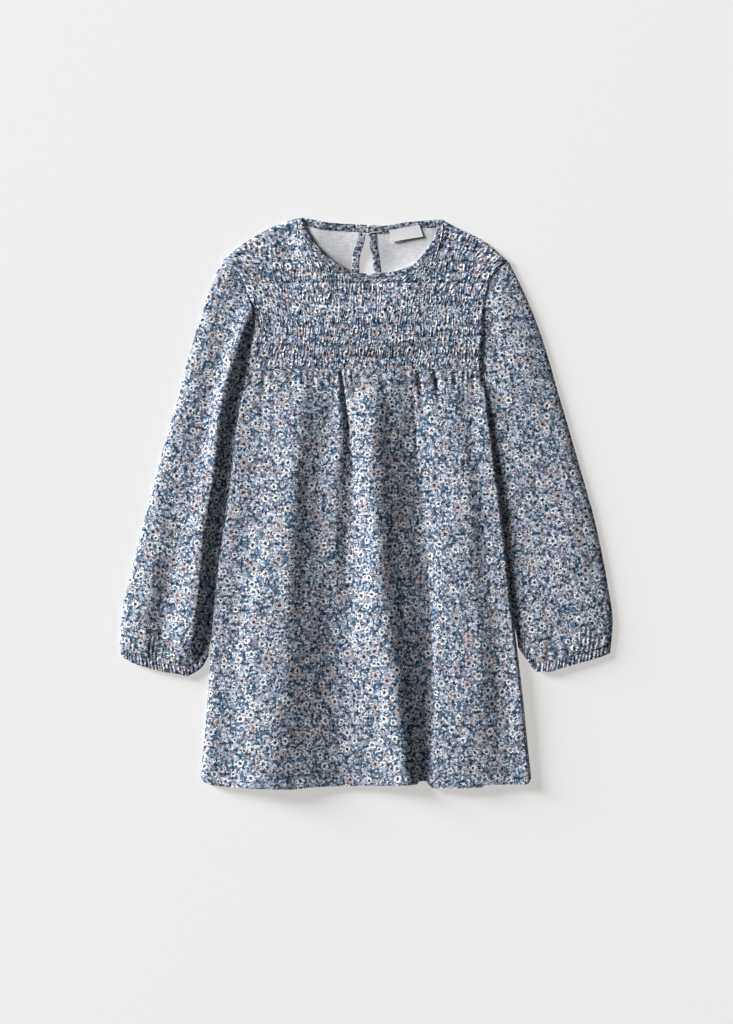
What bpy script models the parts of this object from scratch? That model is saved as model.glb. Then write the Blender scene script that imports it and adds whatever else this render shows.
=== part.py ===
"""Ruched dress: a child's long-sleeved jersey dress with a shirred bodice, laid face up.

The dress lies flat on its back in the XY plane, neck toward +Y, and rests on Z = 0.
All sizes in this file are millimetres; the finish step turns them into metres.
"""
import bpy
import bmesh
import numpy as np
from mathutils import Vector
from mathutils.geometry import delaunay_2d_cdt

MM_TO_M = 0.001
SHARP_FROM_DEGREES = 50

# Cloth and layers
WALL = 1.6
SEAM_GAP = 0.3
LAYER_GAP = 3.9
FRONT_FLOOR = WALL + SEAM_GAP
FRONT_CEILING = WALL + LAYER_GAP

# Bodice
YOKE_BOTTOM_Y = 142.8
YOKE_TOP_ROW_Y = 233.7
GATHERS_STRAP = 14
GATHERS_UNDER_NECK = 40
GATHER_RISE = 1.3
PUFF_ROWS = 5
STRAP_ROWS = 4
YOKE_LOFT = 2.0
SIDE_ROUNDNESS = 0.35
PUFF_BETWEEN, PUFF_AT_ROW, PUFF_AT_TOP = 1.0, 0.45, 0.3

# Skirt
SKIRT_TOP_Y = 142.2
HEM_FOLD_RISE = 0.6
HEM_FOLD_STARTS = 0.955

# Sleeves and cuffs
EDGE_ROLL = 2.1
ARMHOLE_GAP = 0.45
UNDERARM_Y = 141.5
BESIDE_GAP = 0.9
UNDERARM_CURVE = 13.0
CUFF_CURVE = 12.0
SLEEVE_STATIONS = (0.0, 0.04, 0.1, 0.18, 0.27, 0.37, 0.47, 0.57, 0.67, 0.77, 0.86, 0.93, 0.97, 1.0)
CUFF_GATHERS = 22
CUFF_RISE = 0.9
CUFF_HEIGHT = 6.0

# Neck trim
FRONT_BINDING_WIDTH = 6.9
FRONT_BINDING_BASE = 2.3
FRONT_BINDING_THICK = 2.6
BACK_BINDING_WIDTH = 8.4
KEYHOLE_BINDING_WIDTH = 8.0
BINDING_THICK = 1.9

# Closure, under the back neck
BUTTON_X, BUTTON_Y = 4.6, 290.2
BUTTON_RADIUS = 5.2
BUTTON_THICK = 2.4
BUTTON_SOFT_EDGE = 0.8
SHANK_RADIUS = 1.4
LOOP_RADIUS = 2.6
LOOP_ROOT_X = -11.0
CORD_RADIUS = 0.6
NECK_LIFT = 4.5
LIFT_FLAT = 9.0
LIFT_REACH = 38.0

LABEL_THICK = 1.0

# Outline of the body, as X and Y; L and R are the wearer's panels as seen in plan
ARMHOLE_L = ((-130.9, 141.5), (-126.1, 162.7), (-123.0, 183.9), (-124.6, 205.1),
             (-130.9, 224.2), (-137.3, 240.1), (-145.8, 250.7), (-157.4, 256.0))
ARMHOLE_R = ((121.4, 141.5), (120.3, 162.7), (121.4, 183.9), (123.5, 210.4),
             (127.7, 230.6), (135.2, 245.4), (147.9, 256.0))
SHOULDER_L = ((-157.4, 256.0), (-137.3, 272.9), (-119.2, 284.6), (-98.1, 295.2), (-77.8, 302.3))
SHOULDER_R = ((78.7, 300.2), (87.5, 295.2), (109.7, 284.6), (127.7, 274.0), (138.3, 264.5), (147.9, 256.0))
NECK_FRONT = ((-70.5, 302.8), (-69.4, 294.2), (-63.1, 283.6), (-52.5, 269.8), (-40.8, 259.2),
              (-27.0, 250.7), (-10.1, 244.3), (5.8, 244.3), (26.0, 246.5), (37.6, 249.6),
              (47.7, 254.9), (56.7, 264.5), (64.1, 275.1), (70.5, 286.7), (71.5, 301.0))
NECK_BACK_L = ((-70.5, 303.0), (-41.9, 297.9), (-13.2, 296.0), (-2.8, 295.2))
NECK_BACK_R = ((-1.4, 294.7), (11.1, 294.3), (22.8, 295.4), (37.6, 298.0), (71.5, 301.2))
KEYHOLE = ((-3.8, 285.9), (-6.4, 272.9), (-9.4, 264.5), (-10.7, 251.8), (-10.6, 240.1),
           (-8.0, 230.6), (-3.2, 226.3), (1.6, 230.6), (4.2, 240.1), (4.1, 247.5),
           (2.4, 264.5), (0.0, 272.9), (-0.6, 285.4))
HEM = ((-179.1, -290.5), (-176.0, -294.4), (-164.8, -298.9), (-141.5, -300.5), (-110.8, -302.1),
       (-83.2, -302.6), (-62.0, -300.5), (-22.8, -299.4), (50.4, -297.3), (53.0, -294.2),
       (59.9, -294.2), (63.1, -298.4), (67.3, -301.6), (92.8, -301.6), (119.2, -300.5),
       (123.5, -297.9), (167.0, -297.3), (171.7, -291.0))
LABEL_CORNERS = ((21.2, 289.5), (52.9, 295.2), (56.9, 282.9), (22.6, 277.2))

# Skirt folds, left to right. A row is a fold line: name, then its X and its outer height
# at each station. Stations are fractions of the way from the bodice seam to the hem.
SKIRT_STATIONS = (0.0, 0.144, 0.288, 0.456, 0.6, 0.79, 1.0)
SKIRT_FOLDS = (
    ("left edge", (-130.9, -142.0, -149.4, -159.6, -166.4, -171.6, -179.1),
     (3.5, 3.5, 3.5, 3.5, 3.5, 3.5, 3.5)),
    ("left roll", (-125.1, -135.6, -142.9, -152.8, -159.2, -164.2, -171.2),
     (4.3, 4.6, 4.7, 4.9, 5.0, 5.2, 5.5)),
    ("left flank", (-114.0, -115.0, -125.6, -130.9, -140.5, -143.6, -146.8),
     (4.9, 5.2, 5.4, 5.5, 5.7, 6.4, 6.8)),
    ("left slope", (-99.1, -97.0, -103.4, -108.7, -117.1, -119.2, -124.6),
     (5.3, 6.3, 6.9, 7.2, 7.3, 7.6, 7.7)),
    ("left ridge", (-73.7, -74.7, -81.1, -85.3, -89.6, -94.9, -103.4),
     (5.6, 7.5, 7.9, 8.0, 8.1, 8.1, 8.0)),
    ("left fall", (-56.7, -58.8, -64.1, -66.2, -68.4, -66.2, -69.4),
     (5.3, 6.9, 7.2, 7.3, 7.4, 7.4, 7.4)),
    ("left valley", (-41.9, -41.9, -52.5, -48.2, -37.6, -32.3, -29.2),
     (5.0, 6.2, 6.8, 6.6, 5.8, 5.6, 5.5)),
    ("inner ridge", (-30.2, -30.2, -36.6, -37.6, -31.3, -27.0, -22.8),
     (5.3, 6.7, 7.1, 6.7, 5.9, 5.7, 5.6)),
    ("crease", (-23.9, -21.7, -19.6, -24.9, -24.9, -21.7, -16.4),
     (5.1, 6.0, 6.1, 5.9, 6.0, 5.8, 5.8)),
    ("middle slope", (-11.1, -10.1, -9.0, -8.0, -5.8, 2.7, 15.4),
     (5.4, 6.7, 7.0, 7.0, 7.1, 7.1, 6.9)),
    ("middle ridge", (0.5, 3.7, 5.8, 10.1, 16.4, 28.1, 38.7),
     (5.7, 7.5, 7.8, 7.9, 8.0, 8.0, 7.8)),
    ("pleat fall", (17.5, 21.7, 26.0, 31.3, 36.6, 45.1, 49.3),
     (5.3, 6.3, 6.4, 6.6, 6.9, 7.1, 7.2)),
    ("pleat", (45.1, 48.2, 52.5, 58.8, 63.1, 64.1, 61.0),
     (4.6, 3.6, 3.6, 3.6, 3.6, 3.6, 4.1)),
    ("pleat wall", (64.1, 65.2, 70.5, 71.5, 73.7, 71.5, 69.4),
     (5.0, 5.1, 5.8, 5.9, 6.1, 6.2, 6.4)),
    ("right ridge", (88.5, 92.8, 93.8, 97.0, 99.1, 104.4, 106.5),
     (5.4, 6.2, 6.6, 6.6, 6.5, 6.6, 6.6)),
    ("right flank", (104.4, 108.7, 116.1, 119.2, 121.4, 126.7, 129.8),
     (5.1, 5.3, 5.6, 5.5, 5.3, 5.5, 5.8)),
    ("right roll", (115.5, 122.4, 131.6, 138.4, 144.8, 152.6, 161.7),
     (4.5, 4.7, 5.0, 4.9, 4.7, 4.6, 4.7)),
    ("right edge", (121.4, 128.9, 137.6, 146.0, 152.7, 162.7, 171.7),
     (3.5, 3.5, 3.5, 3.5, 3.5, 3.5, 3.5)),
)
SKIRT_STRIPS = (1, 2, 2, 3, 3, 3, 2, 1, 2, 3, 3, 3, 3, 4, 3, 3, 1)
SKIRT_ROWS = (0.0, 0.012, 0.035, 0.07, 0.12, 0.19, 0.27, 0.36, 0.46, 0.56, 0.66, 0.76, 0.86, 0.95, 0.975, 1.0)

# Short creases that drop from the bodice seam: X at the seam, lean, length, half width, depth
SEAM_CREASES = (
    (-113.0, 0.10, 26.0, 3.2, 0.9),
    (-102.0, -0.05, 14.0, 2.6, 0.8),
    (-83.0, 0.05, 20.0, 3.2, 0.9),
    (13.3, 0.10, 22.0, 3.0, 0.7),
    (68.5, 0.05, 34.0, 3.2, 1.0),
    (90.6, 0.05, 18.0, 3.0, 0.8),
)

SLEEVE_L_OUTER = ((-157.4, 256.0), (-171.2, 221.0), (-185.0, 178.6), (-203.0, 115.0), (-222.1, 46.1),
                  (-240.1, -22.8), (-254.4, -79.0), (-263.9, -125.6), (-264.7, -150.0))
SLEEVE_R_OUTER = ((147.9, 256.0), (164.8, 221.0), (181.8, 178.6), (200.9, 115.0), (221.0, 46.1),
                  (240.1, -22.8), (252.8, -86.4), (258.1, -125.6), (256.5, -147.9))
UNDERARM_CORNER_L, UNDERARM_CORNER_R = (-131.9, UNDERARM_Y), (122.4, UNDERARM_Y)
CUFF_L_SEAM = ((-264.7, -150.0), (-250.7, -157.4), (-232.7, -163.8), (-203.0, -171.2),
               (-182.9, -167.0), (-170.0, -153.2))
CUFF_L_EDGE = ((-263.6, -161.7), (-250.7, -169.1), (-238.0, -173.3), (-219.4, -178.2), (-203.0, -180.7),
               (-194.5, -182.9), (-186.0, -179.7), (-177.5, -173.3), (-170.6, -161.7))
CUFF_R_SEAM = ((156.6, -142.6), (170.1, -157.4), (181.8, -167.0), (201.9, -163.8),
               (228.4, -157.4), (256.5, -147.9))
CUFF_R_EDGE = ((157.6, -152.2), (167.0, -165.9), (178.1, -178.2), (188.2, -178.6), (204.6, -174.4),
               (223.1, -169.1), (242.2, -163.8), (255.4, -158.6))

# Sleeve folds, from the outer edge (0) to the inner edge (1): name, place across and
# outer height at each station along the sleeve, from the armhole to the cuff.
FOLD_STATIONS = (0.0, 0.08, 0.25, 0.5, 0.75, 0.92, 1.0)
SLEEVE_L_FOLDS = (
    ("outer roll", (0.10, 0.10, 0.10, 0.10, 0.10, 0.10, 0.10), (4.3, 5.4, 5.7, 5.9, 6.2, 6.2, 5.6)),
    ("outer ridge", (0.20, 0.20, 0.20, 0.20, 0.24, 0.26, 0.26), (4.4, 5.7, 6.0, 6.2, 7.0, 7.1, 5.8)),
    ("valley", (0.32, 0.32, 0.32, 0.36, 0.42, 0.46, 0.46), (4.4, 5.7, 6.0, 6.3, 6.2, 6.0, 5.4)),
    ("ridge", (0.45, 0.47, 0.50, 0.59, 0.64, 0.66, 0.66), (4.4, 6.6, 7.6, 8.1, 8.2, 7.8, 6.0)),
    ("inner slope", (0.78, 0.78, 0.78, 0.82, 0.84, 0.84, 0.84), (4.3, 5.0, 5.6, 6.2, 6.4, 6.1, 5.2)),
)
SLEEVE_R_FOLDS = (
    ("outer roll", (0.08, 0.08, 0.08, 0.08, 0.08, 0.08, 0.08), (4.3, 5.0, 5.2, 5.3, 5.4, 5.4, 5.1)),
    ("outer ridge", (0.28, 0.28, 0.28, 0.28, 0.28, 0.28, 0.28), (4.4, 5.8, 6.1, 6.2, 6.5, 6.5, 5.8)),
    ("valley", (0.50, 0.50, 0.50, 0.50, 0.48, 0.46, 0.46), (4.4, 6.4, 6.6, 6.6, 6.4, 6.0, 5.6)),
    ("ridge", (0.72, 0.72, 0.72, 0.72, 0.72, 0.70, 0.70), (4.4, 6.7, 7.1, 7.3, 7.4, 7.0, 5.8)),
    ("inner slope", (0.91, 0.91, 0.91, 0.91, 0.91, 0.91, 0.91), (4.3, 5.6, 6.0, 6.3, 6.3, 6.0, 5.3)),
)


def start_clean():
    """Remove every object that the scene holds."""
    for item in list(bpy.data.objects):
        bpy.data.objects.remove(item, do_unlink=True)


def cloth(name, colour, roughness):
    """A plain material with one colour, given as linear red, green and blue."""
    material = bpy.data.materials.new(name)
    material.use_nodes = True
    shader = material.node_tree.nodes["Principled BSDF"]
    shader.inputs["Base Color"].default_value = (*colour, 1.0)
    shader.inputs["Roughness"].default_value = roughness
    material.diffuse_color = (*colour, 1.0)
    return material


PRINT = (0.225, 0.25, 0.305)
MARL = (0.60, 0.61, 0.64)
BARE_WHITE = (0.80, 0.80, 0.79)
HORN = (0.16, 0.18, 0.22)


def monotone(x, y, at):
    """Smooth curve through (x, y) that never overshoots, read at the values in at."""
    x, y = np.asarray(x, float), np.asarray(y, float)
    step = np.diff(x)
    rise = np.diff(y) / step
    slope = np.zeros_like(y)
    same = rise[:-1] * rise[1:] > 0
    near = 2 * step[1:] + step[:-1]
    far = step[1:] + 2 * step[:-1]
    weight = near / np.where(same, rise[:-1], 1.0) + far / np.where(same, rise[1:], 1.0)
    slope[1:-1] = np.where(same, (near + far) / weight, 0.0)
    slope[0], slope[-1] = rise[0], rise[-1]
    at = np.clip(at, x[0], x[-1])
    k = np.clip(np.searchsorted(x, at) - 1, 0, len(step) - 1)
    s = (at - x[k]) / step[k]
    return (y[k] * (1 + 2 * s) * (1 - s) ** 2 + step[k] * slope[k] * s * (1 - s) ** 2
            + y[k + 1] * s * s * (3 - 2 * s) + step[k] * slope[k + 1] * s * s * (s - 1))


def along(points, fractions, by_x=0.0):
    """Points of a smooth curve at fractions of its length; by_x mixes in evenness of X."""
    points = np.asarray(points, float)
    chord = np.concatenate([[0.0], np.cumsum(np.hypot(*np.diff(points, axis=0).T))])
    fine_t = np.linspace(0.0, chord[-1], 600)
    fine = np.column_stack([monotone(chord, points[:, k], fine_t) for k in (0, 1)])
    run = np.concatenate([[0.0], np.cumsum(np.hypot(*np.diff(fine, axis=0).T))])
    measure = run / run[-1]
    if by_x:
        span = (fine[:, 0] - fine[0, 0]) / (fine[-1, 0] - fine[0, 0])
        measure = (1 - by_x) * measure + by_x * span
    return np.column_stack([np.interp(fractions, measure, fine[:, k]) for k in (0, 1)])


def evenly(points, count, by_x=0.0):
    return along(points, np.linspace(0.0, 1.0, count), by_x)


def offset(curve, distance):
    """The curve moved to the right of its own direction by a distance."""
    tangent = np.gradient(curve, axis=0)
    tangent /= np.linalg.norm(tangent, axis=1)[:, None]
    return curve + distance * np.column_stack([tangent[:, 1], -tangent[:, 0]])


def patch(start, end, first, last, across, down, hold=1):
    """Plan points between four edge curves: start and end run across, first and last run down.

    Points are ruled from start to end, then moved by as much as the side curves stray from
    their ruled lines; hold is the power with which that move fades away from each side.
    """
    u, v = across[None, :, None], down[:, None, None]
    ruled = (1 - v) * start[None] + v * end[None]
    stray_first = first[:, None] - ruled[:, :1]
    stray_last = last[:, None] - ruled[:, -1:]
    return ruled + (1 - u) ** hold * stray_first + u ** hold * stray_last


def smooth_step(x):
    x = np.clip(x, 0.0, 1.0)
    return x * x * (3 - 2 * x)


def neck_lift(points):
    """How far the back neck stands up over the button beneath it."""
    reach = np.hypot(points[..., 0] - BUTTON_X, points[..., 1] - BUTTON_Y)
    return NECK_LIFT * (1 - smooth_step((reach - LIFT_FLAT) / (LIFT_REACH - LIFT_FLAT)))


def add_object(name, points, faces, material):
    """Make a named object from points in millimetres, with its faces turned outward."""
    mesh = bpy.data.meshes.new(name)
    mesh.from_pydata((np.asarray(points) * MM_TO_M).tolist(), [], [list(map(int, f)) for f in faces])
    work = bmesh.new()
    work.from_mesh(mesh)
    bmesh.ops.recalc_face_normals(work, faces=work.faces)
    work.to_mesh(mesh)
    work.free()
    mesh.shade_smooth()
    mesh.set_sharp_from_angle(angle=np.radians(SHARP_FROM_DEGREES))
    mesh.materials.append(material)
    item = bpy.data.objects.new(name, mesh)
    bpy.context.scene.collection.objects.link(item)
    return item


def grid_faces(rows, columns, base=0, close=False):
    """Quads over a grid of points; close joins the last column to the first."""
    span = columns if close else columns - 1
    r, c = np.meshgrid(np.arange(rows - 1), np.arange(span), indexing="ij")
    c_next = (c + 1) % columns
    quads = np.stack([r * columns + c, r * columns + c_next,
                      (r + 1) * columns + c_next, (r + 1) * columns + c], axis=-1)
    return (quads.reshape(-1, 4) + base).tolist()


def rim_loop(rows, columns):
    """The border of a grid, once round, as point numbers."""
    top = list(range(columns))
    right = [r * columns + columns - 1 for r in range(1, rows)]
    bottom = [(rows - 1) * columns + c for c in range(columns - 2, -1, -1)]
    left = [r * columns for r in range(rows - 2, 0, -1)]
    return top + right + bottom + left


def shell(name, outer, inner, material):
    """Closed wall between two grids of the same size."""
    rows, columns = outer.shape[:2]
    count = rows * columns
    loop = rim_loop(rows, columns)
    faces = grid_faces(rows, columns) + grid_faces(rows, columns, base=count)
    for a, b in zip(loop, loop[1:] + loop[:1]):
        faces.append((a, b, b + count, a + count))
    return add_object(name, np.concatenate([outer.reshape(-1, 3), inner.reshape(-1, 3)]), faces, material)


def tube(name, outer, inner, material):
    """Closed wall between two nested rows of rings, joined at both open ends."""
    rows, columns = outer.shape[:2]
    count = rows * columns
    faces = grid_faces(rows, columns, close=True) + grid_faces(rows, columns, base=count, close=True)
    for row in (0, rows - 1):
        for c in range(columns):
            a, b = row * columns + c, row * columns + (c + 1) % columns
            faces.append((a, b, b + count, a + count))
    return add_object(name, np.concatenate([outer.reshape(-1, 3), inner.reshape(-1, 3)]), faces, material)


def triangulated(loop_points, inner_points):
    """Triangles that fill a plan outline, using extra points inside it."""
    outline = [Vector(p) for p in loop_points]
    edges = [(i, (i + 1) % len(outline)) for i in range(len(outline))]
    every = outline + [Vector(p) for p in inner_points]
    out = delaunay_2d_cdt(every, edges, [], 1, 1e-5)
    source = [group[0] for group in out[3]]
    return [tuple(source[i] for i in face) for face in out[2]]


def inside(outline, points, margin):
    """Which points lie inside an outline and at least a margin from its corners' lines."""
    a, b = outline, np.roll(outline, -1, axis=0)
    p = points[:, None]
    crosses = (a[:, 1] > p[..., 1]) != (b[:, 1] > p[..., 1])
    rise = np.where(b[:, 1] == a[:, 1], 1.0, b[:, 1] - a[:, 1])
    meets = p[..., 0] < (b[:, 0] - a[:, 0]) * (p[..., 1] - a[:, 1]) / rise + a[:, 0]
    odd = (crosses & meets).sum(axis=1) % 2 == 1
    run = b - a
    t = np.clip(((p - a) * run).sum(-1) / (run ** 2).sum(-1), 0, 1)
    gap = np.linalg.norm(p - (a + t[..., None] * run), axis=-1).min(axis=1)
    return odd & (gap > margin)


def strip(name, path, width, base, thick, material, lifted=False):
    """A flat ribbon with soft corners, to the right of a path, standing on a base height."""
    soft = min(0.5, thick / 4)
    section = ((0.0, soft), (soft, 0.0), (width - soft, 0.0), (width, soft), (width, thick - 2 * soft),
               (width - 2 * soft, thick), (2 * soft, thick), (0.0, thick - 2 * soft))
    rings = []
    for across, up in section:
        plan = offset(path, across)
        height = np.full(len(plan), base + up)
        if lifted:
            height = height + neck_lift(plan)
        rings.append(np.column_stack([plan, height]))
    rings = np.stack(rings, axis=1)
    rows, columns = rings.shape[:2]
    faces = grid_faces(rows, columns, close=True)
    faces.append(list(range(columns)))
    faces.append(list(range((rows - 1) * columns, rows * columns)))
    return add_object(name, rings.reshape(-1, 3), faces, material)


def lathe(name, profile, sides, centre, material):
    """A turned solid: profile rows are radius and height, first and last on the axis."""
    turn = np.linspace(0, 2 * np.pi, sides, endpoint=False)
    middle = profile[1:-1]
    points = [(centre[0] + r * np.cos(a), centre[1] + r * np.sin(a), z) for r, z in middle for a in turn]
    faces = grid_faces(len(middle), sides, close=True)
    first, last = len(points), len(points) + 1
    points += [(*centre, profile[0][1]), (*centre, profile[-1][1])]
    end = (len(middle) - 1) * sides
    for k in range(sides):
        faces.append((first, k, (k + 1) % sides))
        faces.append((last, end + (k + 1) % sides, end + k))
    return add_object(name, points, faces, material)


def panel_outline():
    """The back panel's outline, once round from the left neck, with the keyhole slit in it."""
    neck_l = offset(evenly(NECK_BACK_L, 12), BACK_BINDING_WIDTH + SEAM_GAP)
    neck_r = offset(evenly(NECK_BACK_R, 12), BACK_BINDING_WIDTH + SEAM_GAP)
    slit = offset(evenly(KEYHOLE, 31), KEYHOLE_BINDING_WIDTH + SEAM_GAP)
    neck_l = neck_l[neck_l[:, 0] < slit[0, 0] - 1.0]
    neck_r = neck_r[neck_r[:, 0] > slit[-1, 0] + 1.0]
    slit[0, 1] = neck_l[-1, 1]
    slit[-1, 1] = neck_r[0, 1]
    shoulder_r = evenly(SHOULDER_R, 8)
    armhole_r = evenly(ARMHOLE_R, 12)[::-1]
    side_r = skirt_edge(-1)
    hem = evenly(HEM, 44)[::-1]
    side_l = skirt_edge(0)[::-1]
    armhole_l = evenly(ARMHOLE_L, 12)
    shoulder_l = evenly(SHOULDER_L, 8)
    return np.concatenate([neck_l, slit, neck_r, shoulder_r, armhole_r[1:], side_r[1:-1], hem,
                           side_l[1:-1], armhole_l, shoulder_l[1:]])


def skirt_edge(which, rows=SKIRT_ROWS):
    """Side seam of the skirt, from the underarm to the hem, at fractions of the way down."""
    rows = np.asarray(rows)
    x = monotone(SKIRT_STATIONS, SKIRT_FOLDS[which][1], rows)
    return np.column_stack([x, UNDERARM_Y + rows * (HEM[which][1] - UNDERARM_Y)])


def beside_skirt(which, gap, corner, end):
    """Inner edge of a sleeve: it lies along the skirt's side, from the underarm to the cuff.

    A short smooth curve leads into the parallel part from the underarm, and out of it at the cuff.
    """
    edge = skirt_edge(which, np.linspace(0, 1, 80)) + [gap, 0.0]
    keep = (edge[:, 1] < UNDERARM_Y - UNDERARM_CURVE) & (edge[:, 1] > end[1] + CUFF_CURVE)
    return np.concatenate([[corner], edge[keep], [end]])


def make_back():
    """One flat panel, plain inside, lifted a little over the button at the centre neck."""
    outline = panel_outline()
    gx, gy = np.meshgrid(np.arange(-42.0, 48.0, 7.0), np.arange(246.0, 292.0, 7.0))
    near = np.column_stack([gx.ravel(), gy.ravel()])
    near = near[inside(outline, near, 2.2)]
    triangles = triangulated(outline, near)
    plan = np.concatenate([outline, near])
    lift = neck_lift(plan)
    count = len(plan)
    points = np.concatenate([np.column_stack([plan, lift]), np.column_stack([plan, lift + WALL])])
    faces = [tuple(reversed(t)) for t in triangles]
    faces += [tuple(i + count for i in t) for t in triangles]
    for i in range(len(outline)):
        j = (i + 1) % len(outline)
        faces.append((i, j, j + count, i + count))
    return add_object("back", points, faces, cloth("back", MARL, 0.9))


def yoke_plan():
    """Plan points of the bodice: level rows below the neck, then rows that fan to the shoulders."""
    strap, middle = 2 * GATHERS_STRAP, 2 * GATHERS_UNDER_NECK
    columns = 2 * strap + middle + 1
    across = np.linspace(0, 1, columns)
    level = np.linspace(YOKE_BOTTOM_Y, YOKE_TOP_ROW_Y, 2 * PUFF_ROWS)
    arm_l, arm_r = evenly(ARMHOLE_L, 200), evenly(ARMHOLE_R, 200)
    left = np.interp(level, arm_l[:, 1], arm_l[:, 0])
    right = np.interp(level, arm_r[:, 1], arm_r[:, 0])
    lower = np.stack([left[:, None] + across * (right - left)[:, None],
                      np.repeat(level[:, None], columns, axis=1)], axis=-1)
    scoop = offset(evenly(NECK_FRONT, middle + 1, 0.5), FRONT_BINDING_WIDTH + SEAM_GAP)
    top = np.concatenate([evenly(SHOULDER_L, strap + 1)[:-1], scoop, evenly(SHOULDER_R, strap + 1)[1:]])
    down = np.linspace(0, 1, STRAP_ROWS + 1)
    side_l = evenly(arm_l[arm_l[:, 1] > YOKE_TOP_ROW_Y], STRAP_ROWS + 1)
    side_r = evenly(arm_r[arm_r[:, 1] > YOKE_TOP_ROW_Y], STRAP_ROWS + 1)
    side_l[0], side_r[0] = lower[-1, 0], lower[-1, -1]
    upper = patch(lower[-1], top, side_l, side_r, across, down, hold=24)
    return np.concatenate([lower, upper[1:]])


def make_front_yoke():
    """Shirred bodice: gathers and puffs stand on the outer face, the inside is plain."""
    plan = yoke_plan()
    rows, columns = plan.shape[:2]
    u = np.linspace(0, 1, columns)[None, :]
    r = np.arange(rows)[:, None]
    side = np.sin(np.pi * np.clip(u, 0, 1)) ** SIDE_ROUNDNESS
    ends = smooth_step(np.minimum(r + 0.6, rows - 1 - r) / 3.0)
    inner_z = FRONT_FLOOR + YOKE_LOFT * side * ends
    ridge = (np.arange(columns) % 2)[None, :]
    puff = np.where(r % 2 == 1, PUFF_BETWEEN, PUFF_AT_ROW)
    puff[-1] = PUFF_AT_TOP
    fade = smooth_step(np.minimum(u, 1 - u) / 0.02)
    outer_z = inner_z + WALL + GATHER_RISE * ridge * puff * fade
    outer = np.dstack([plan, outer_z])
    inner = np.dstack([plan, np.broadcast_to(inner_z, outer_z.shape)])
    loop = rim_loop(rows, columns)
    flat_outer, flat_inner = outer.reshape(-1, 3), inner.reshape(-1, 3)
    rr, cc = np.meshgrid(np.arange(2, rows - 2, 2), np.arange(6, columns - 6, 8), indexing="ij")
    keep = (rr * columns + cc).ravel()
    outline = flat_inner[loop, :2]
    keep = keep[inside(outline, flat_inner[keep, :2], 1.5)]
    triangles = triangulated(outline, flat_inner[keep, :2])
    count = rows * columns
    points = np.concatenate([flat_outer, flat_inner[loop], flat_inner[keep]])
    faces = grid_faces(rows, columns)
    faces += [tuple(i + count for i in t) for t in triangles]
    for k in range(len(loop)):
        j = (k + 1) % len(loop)
        faces.append((loop[k], loop[j], count + j, count + k))
    return add_object("front_yoke", points, faces, cloth("front_yoke", PRINT, 0.85))


def make_front_skirt():
    """Lower front: a wall that follows the long folds, with creases at the seam and a turned hem."""
    rows = np.array(SKIRT_ROWS)
    lines_x = np.array([monotone(SKIRT_STATIONS, fold[1], rows) for fold in SKIRT_FOLDS])
    lines_z = np.array([monotone(SKIRT_STATIONS, fold[2], rows) for fold in SKIRT_FOLDS])
    knots = np.arange(len(SKIRT_FOLDS))
    places = np.concatenate([k + np.arange(n) / n for k, n in enumerate(SKIRT_STRIPS)] + [[knots[-1]]])
    hem = evenly(HEM, 400)
    outer = []
    for k, v in enumerate(rows):
        x = monotone(knots, lines_x[:, k], places)
        z = monotone(knots, lines_z[:, k], places)
        hem_y = np.interp(x, hem[:, 0], hem[:, 1])
        y = SKIRT_TOP_Y + v * (hem_y - SKIRT_TOP_Y)
        for seam_x, lean, length, half_width, depth in SEAM_CREASES:
            below = SKIRT_TOP_Y - y
            line = seam_x + lean * below
            z = z - depth * np.exp(-((x - line) / half_width) ** 2) * np.clip(1 - below / length, 0, 1)
        if v > HEM_FOLD_STARTS:
            z = z + HEM_FOLD_RISE * smooth_step(np.minimum(places, knots[-1] - places))
        outer.append(np.column_stack([x, y, np.maximum(z, FRONT_FLOOR + WALL)]))
    outer = np.array(outer)
    inner = outer.copy()
    inner[..., 2] = np.minimum(outer[..., 2] - WALL, FRONT_CEILING)
    return shell("front_skirt", outer, inner, cloth("front_skirt", PRINT, 0.85))


def flat_ring(width, tops, inset):
    """Ring of a flattened tube, as distances across and heights, moved in by an inset.

    tops holds distances across and outer heights of the upper face between the rolled edges.
    """
    radius = EDGE_ROLL - inset
    turn = np.radians([-45, 0, 45])
    edge_high = EDGE_ROLL + radius
    near = [(EDGE_ROLL - radius * np.cos(a), EDGE_ROLL + radius * np.sin(a)) for a in turn]
    far = [(width - d, z) for d, z in near]
    bottom = [(EDGE_ROLL + f * (width - 2 * EDGE_ROLL), inset) for f in (0.0, 0.33, 0.67, 1.0)]
    upper = [(d, min(z - inset, FRONT_CEILING) if inset else z) for d, z in tops]
    left, right = (EDGE_ROLL, edge_high), (width - EDGE_ROLL, edge_high)
    return np.array(bottom + far + [right] + upper[::-1] + [left] + near[::-1])


def flat_tube(name, plan, tops_at, material):
    """A flattened tube over a plan patch; tops_at gives each row's upper face."""
    outer, inner = [], []
    for k, row in enumerate(plan):
        run = np.concatenate([[0.0], np.cumsum(np.hypot(*np.diff(row, axis=0).T))])
        for rings, inset in ((outer, 0.0), (inner, WALL)):
            ring = flat_ring(run[-1], tops_at(k, run[-1]), inset)
            xy = [np.interp(ring[:, 0], run, row[:, c]) for c in (0, 1)]
            rings.append(np.column_stack([*xy, ring[:, 1]]))
    return tube(name, np.array(outer), np.array(inner), material)


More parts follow.
